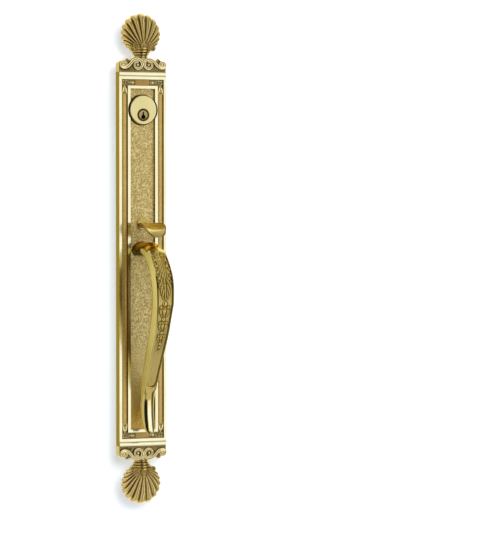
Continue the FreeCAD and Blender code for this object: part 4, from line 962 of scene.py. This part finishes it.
def tongue_at_root(build, up, across, tilt, size):
    """A U-shaped tongue with its rib, laid over the shell's root."""
    base_v = 27.6 - 0.0035 * across * across - abs(across) * 0.02
    front = -(SHELL_RIM + SHELL_RISE + 3.2 - 0.026 * across * across)
    cos_t, sin_t = math.cos(tilt), math.sin(tilt)

    def spot(u, w, y):
        return (across * 0.92 + u * cos_t + w * sin_t, y, beyond(up, base_v + w * cos_t - u * sin_t))

    half, length = 3.3 * size, 5.1 * size
    arch = [(half * math.cos(a), length + half * math.sin(a)) for a in np.linspace(0, math.pi, 19)]
    outline = [(half, 0.0), (half, length * 0.5)] + arch + [(-half, length * 0.5), (-half, 0.0)]
    sweep(build, [spot(u * 0.88, w, front + 0.5 + 0.05 * w) for u, w in outline], 0.85 * size, 8)
    sweep(build, [spot(0, w, front + 0.9) for w in np.linspace(0.6, length * 0.95, 8)],
          [0.5, 0.55, 0.6, 0.65, 0.75, 0.9, 1.05, 0.8], 8)
    # the tongue's bed darker, as antiquing and painted shade
    rings(build, [[spot(u * 0.9, w, y) for u, w in outline] for y in (-SHELL_RIM, front + 1.3)], 0.45)


def shell(place, up):
    """One finial: scallop, ringed neck and tongues."""
    build = Build()
    fan(build, up)
    neck(build, up)
    for across, tilt, size in TONGUES:
        tongue_at_root(build, up, across, tilt, size)
    piece = build.done(f"scallop_{place}", "plate", SHELL, "ornament_brass")
    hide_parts(f"shell_{place}")


# share of light; azimuth to the right of the door's normal, elevation and soft edge in degrees
SOFT_BOXES = [(0.90, 15, 44, -32, 34, 7), (0.42, -5, 50, -80, -38, 9), (0.45, -112, -26, -45, 45, 8),
              (0.50, 82, 130, -35, 45, 10), (0.50, -60, 70, 52, 84, 8), (0.35, -180, -120, -60, 60, 20),
              (0.35, 135, 180, -60, 60, 20)]
FLAGS = [(0.93, -20, 5, -38, 42, 5), (0.50, 54, 72, -45, 46, 5)]
BASE_LIGHT = 0.22
# the backdrop's depth in metres and its glow, the card's glow, and the lamp's watts
WALL_Y, WALL_GLOW, CARD_GLOW, LAMP_POWER = 0.0295, 0.30, 0.72, 52
# the view: azimuth, distance and height in metres, millimetres to a pixel, and the object's pixel
VIEW_AZIMUTH, VIEW_DISTANCE, VIEW_HEIGHT, PIXEL_MM = -21.0, 3.369, 0.066, 1.2233
PICTURE_WIDTH, PICTURE_HEIGHT, OBJECT_PIXEL = 480, 536, (143.0, 259.1)
SENSOR = 36.0


def room():
    """The light round the object, in soft boxes and dark flags by direction; the camera sees white."""
    world = bpy.data.worlds.new("studio")
    bpy.context.scene.world = world
    tree = Tree(world)
    x, y, z = tree.split(tree.new("TexCoord").outputs["Generated"])
    angles = tree.calc("ARCTAN2", x, tree.calc("MULTIPLY", y, -1.0)), tree.calc("ARCSINE", z)
    azimuth, elevation = (tree.calc("MULTIPLY", angle, 180 / math.pi) for angle in angles)

    def box(left, right, low, high, soft):
        return tree.calc("MULTIPLY", tree.window(azimuth, left, right, soft),
                         tree.window(elevation, low, high, soft))

    total = BASE_LIGHT
    for level, *sides in SOFT_BOXES:
        total = tree.calc("MULTIPLY_ADD", box(*sides), level, total)
    for share, *sides in FLAGS:
        left = tree.calc("SUBTRACT", 1.0, tree.calc("MULTIPLY", box(*sides), share))
        total = tree.calc("MULTIPLY", total, left)
    total = tree.calc("MAXIMUM", total, tree.new("LightPath").outputs["Is Camera Ray"])
    tree.fill(tree.nodes["Background"], {"Color": (1, 1, 1), "Strength": total})


def lamp():
    """A soft lamp at the upper left for the backdrop; the brass reflects the room instead."""
    data = bpy.data.lights.new("key", "AREA")
    data.shape = "RECTANGLE"
    data.size, data.size_y = 1.3, 1.1
    data.energy = LAMP_POWER
    obj = in_scene("key", data)
    obj.location = (-0.33, -2.8, 0.75)
    obj.rotation_mode = "QUATERNION"
    obj.rotation_quaternion = obj.location.to_track_quat("Z", "Y")
    obj.visible_glossy = False


def card(name, left, right, reach, y, material):
    """An upright sheet parallel to the door."""
    mesh = bpy.data.meshes.new(name)
    mesh.from_pydata([(left, y, -reach), (right, y, -reach), (right, y, reach), (left, y, reach)], [],
                     [(0, 1, 2, 3)])
    mesh.materials.append(material)
    obj = in_scene(name, mesh)
    return obj


def reflector():
    """A pale card to the left, in front of the wall, which only the brass reflects."""
    material = bpy.data.materials.new("grey_card")
    tree = Tree(material)
    tree.nodes.clear()
    glow = tree.new("Emission", {"Color": (1.0, 0.97, 0.90), "Strength": CARD_GLOW})
    tree.new("OutputMaterial", {0: glow.outputs[0]})
    obj = card("grey_card", -1.2, -0.034, 1, WALL_Y - 0.0005, material)
    obj.visible_camera = obj.visible_diffuse = obj.visible_shadow = obj.visible_transmission = False


def backdrop():
    """A pale wall just behind the object, seen only from its front, which keeps a soft shadow."""
    material = bpy.data.materials.new("pale_backdrop")
    tree = Tree(material)
    path, side = tree.new("LightPath").outputs, tree.new("NewGeometry").outputs
    seen = tree.calc("MAXIMUM", path["Is Camera Ray"], path["Is Glossy Ray"])
    shader = tree.fill(tree.nodes["Principled BSDF"], {
        "Base Color": (0.82, 0.88, 1.0), "Roughness": 1.0, "Specular IOR Level": 0.0,
        "Emission Color": (1, 1, 1), "Emission Strength": tree.calc("MULTIPLY", seen, WALL_GLOW)})
    clear = tree.new("BsdfTransparent")
    mix = tree.new("MixShader", enumerate((side["Backfacing"], shader.outputs[0], clear.outputs[0])))
    tree.fill(tree.nodes["Material Output"], {"Surface": mix.outputs[0]})
    card("backdrop", -6, 6, 6, WALL_Y, material)


def camera():
    """The view from the object's left, almost level, with a long lens."""
    turn, scale = math.radians(VIEW_AZIMUTH), PIXEL_MM * MM
    back = Vector((math.sin(turn), -math.cos(turn), 0))
    right = Vector((math.cos(turn), math.sin(turn), 0))
    object_at = Vector((0, PLATE_FRONT * MM, 0))
    x, y = OBJECT_PIXEL
    aim = object_at + right * (PICTURE_WIDTH / 2 - x) * scale
    aim += Vector((0, 0, (y - PICTURE_HEIGHT / 2) * scale))
    data = bpy.data.cameras.new("camera")
    data.sensor_width = SENSOR
    data.lens = SENSOR * VIEW_DISTANCE / (scale * PICTURE_HEIGHT)
    data.clip_end = 50
    obj = in_scene("camera", data)
    obj.location = object_at + back * VIEW_DISTANCE + Vector((0, 0, VIEW_HEIGHT))
    obj.rotation_mode = "QUATERNION"
    obj.rotation_quaternion = (aim - obj.location).to_track_quat("-Z", "Y")
    bpy.context.scene.camera = obj


dress_cad()
plate_ornament()
panel_ground()
cylinder_head()
trim_ring()
keyway()
thumbpiece()
grip()
for place, up in (("top", 1), ("bottom", -1)):
    crest(place, up)
    shell(place, up)
room()
lamp()
reflector()
backdrop()
camera()
bpy.context.scene.view_settings.view_transform = "Standard"

bpy.context.view_layer.update()
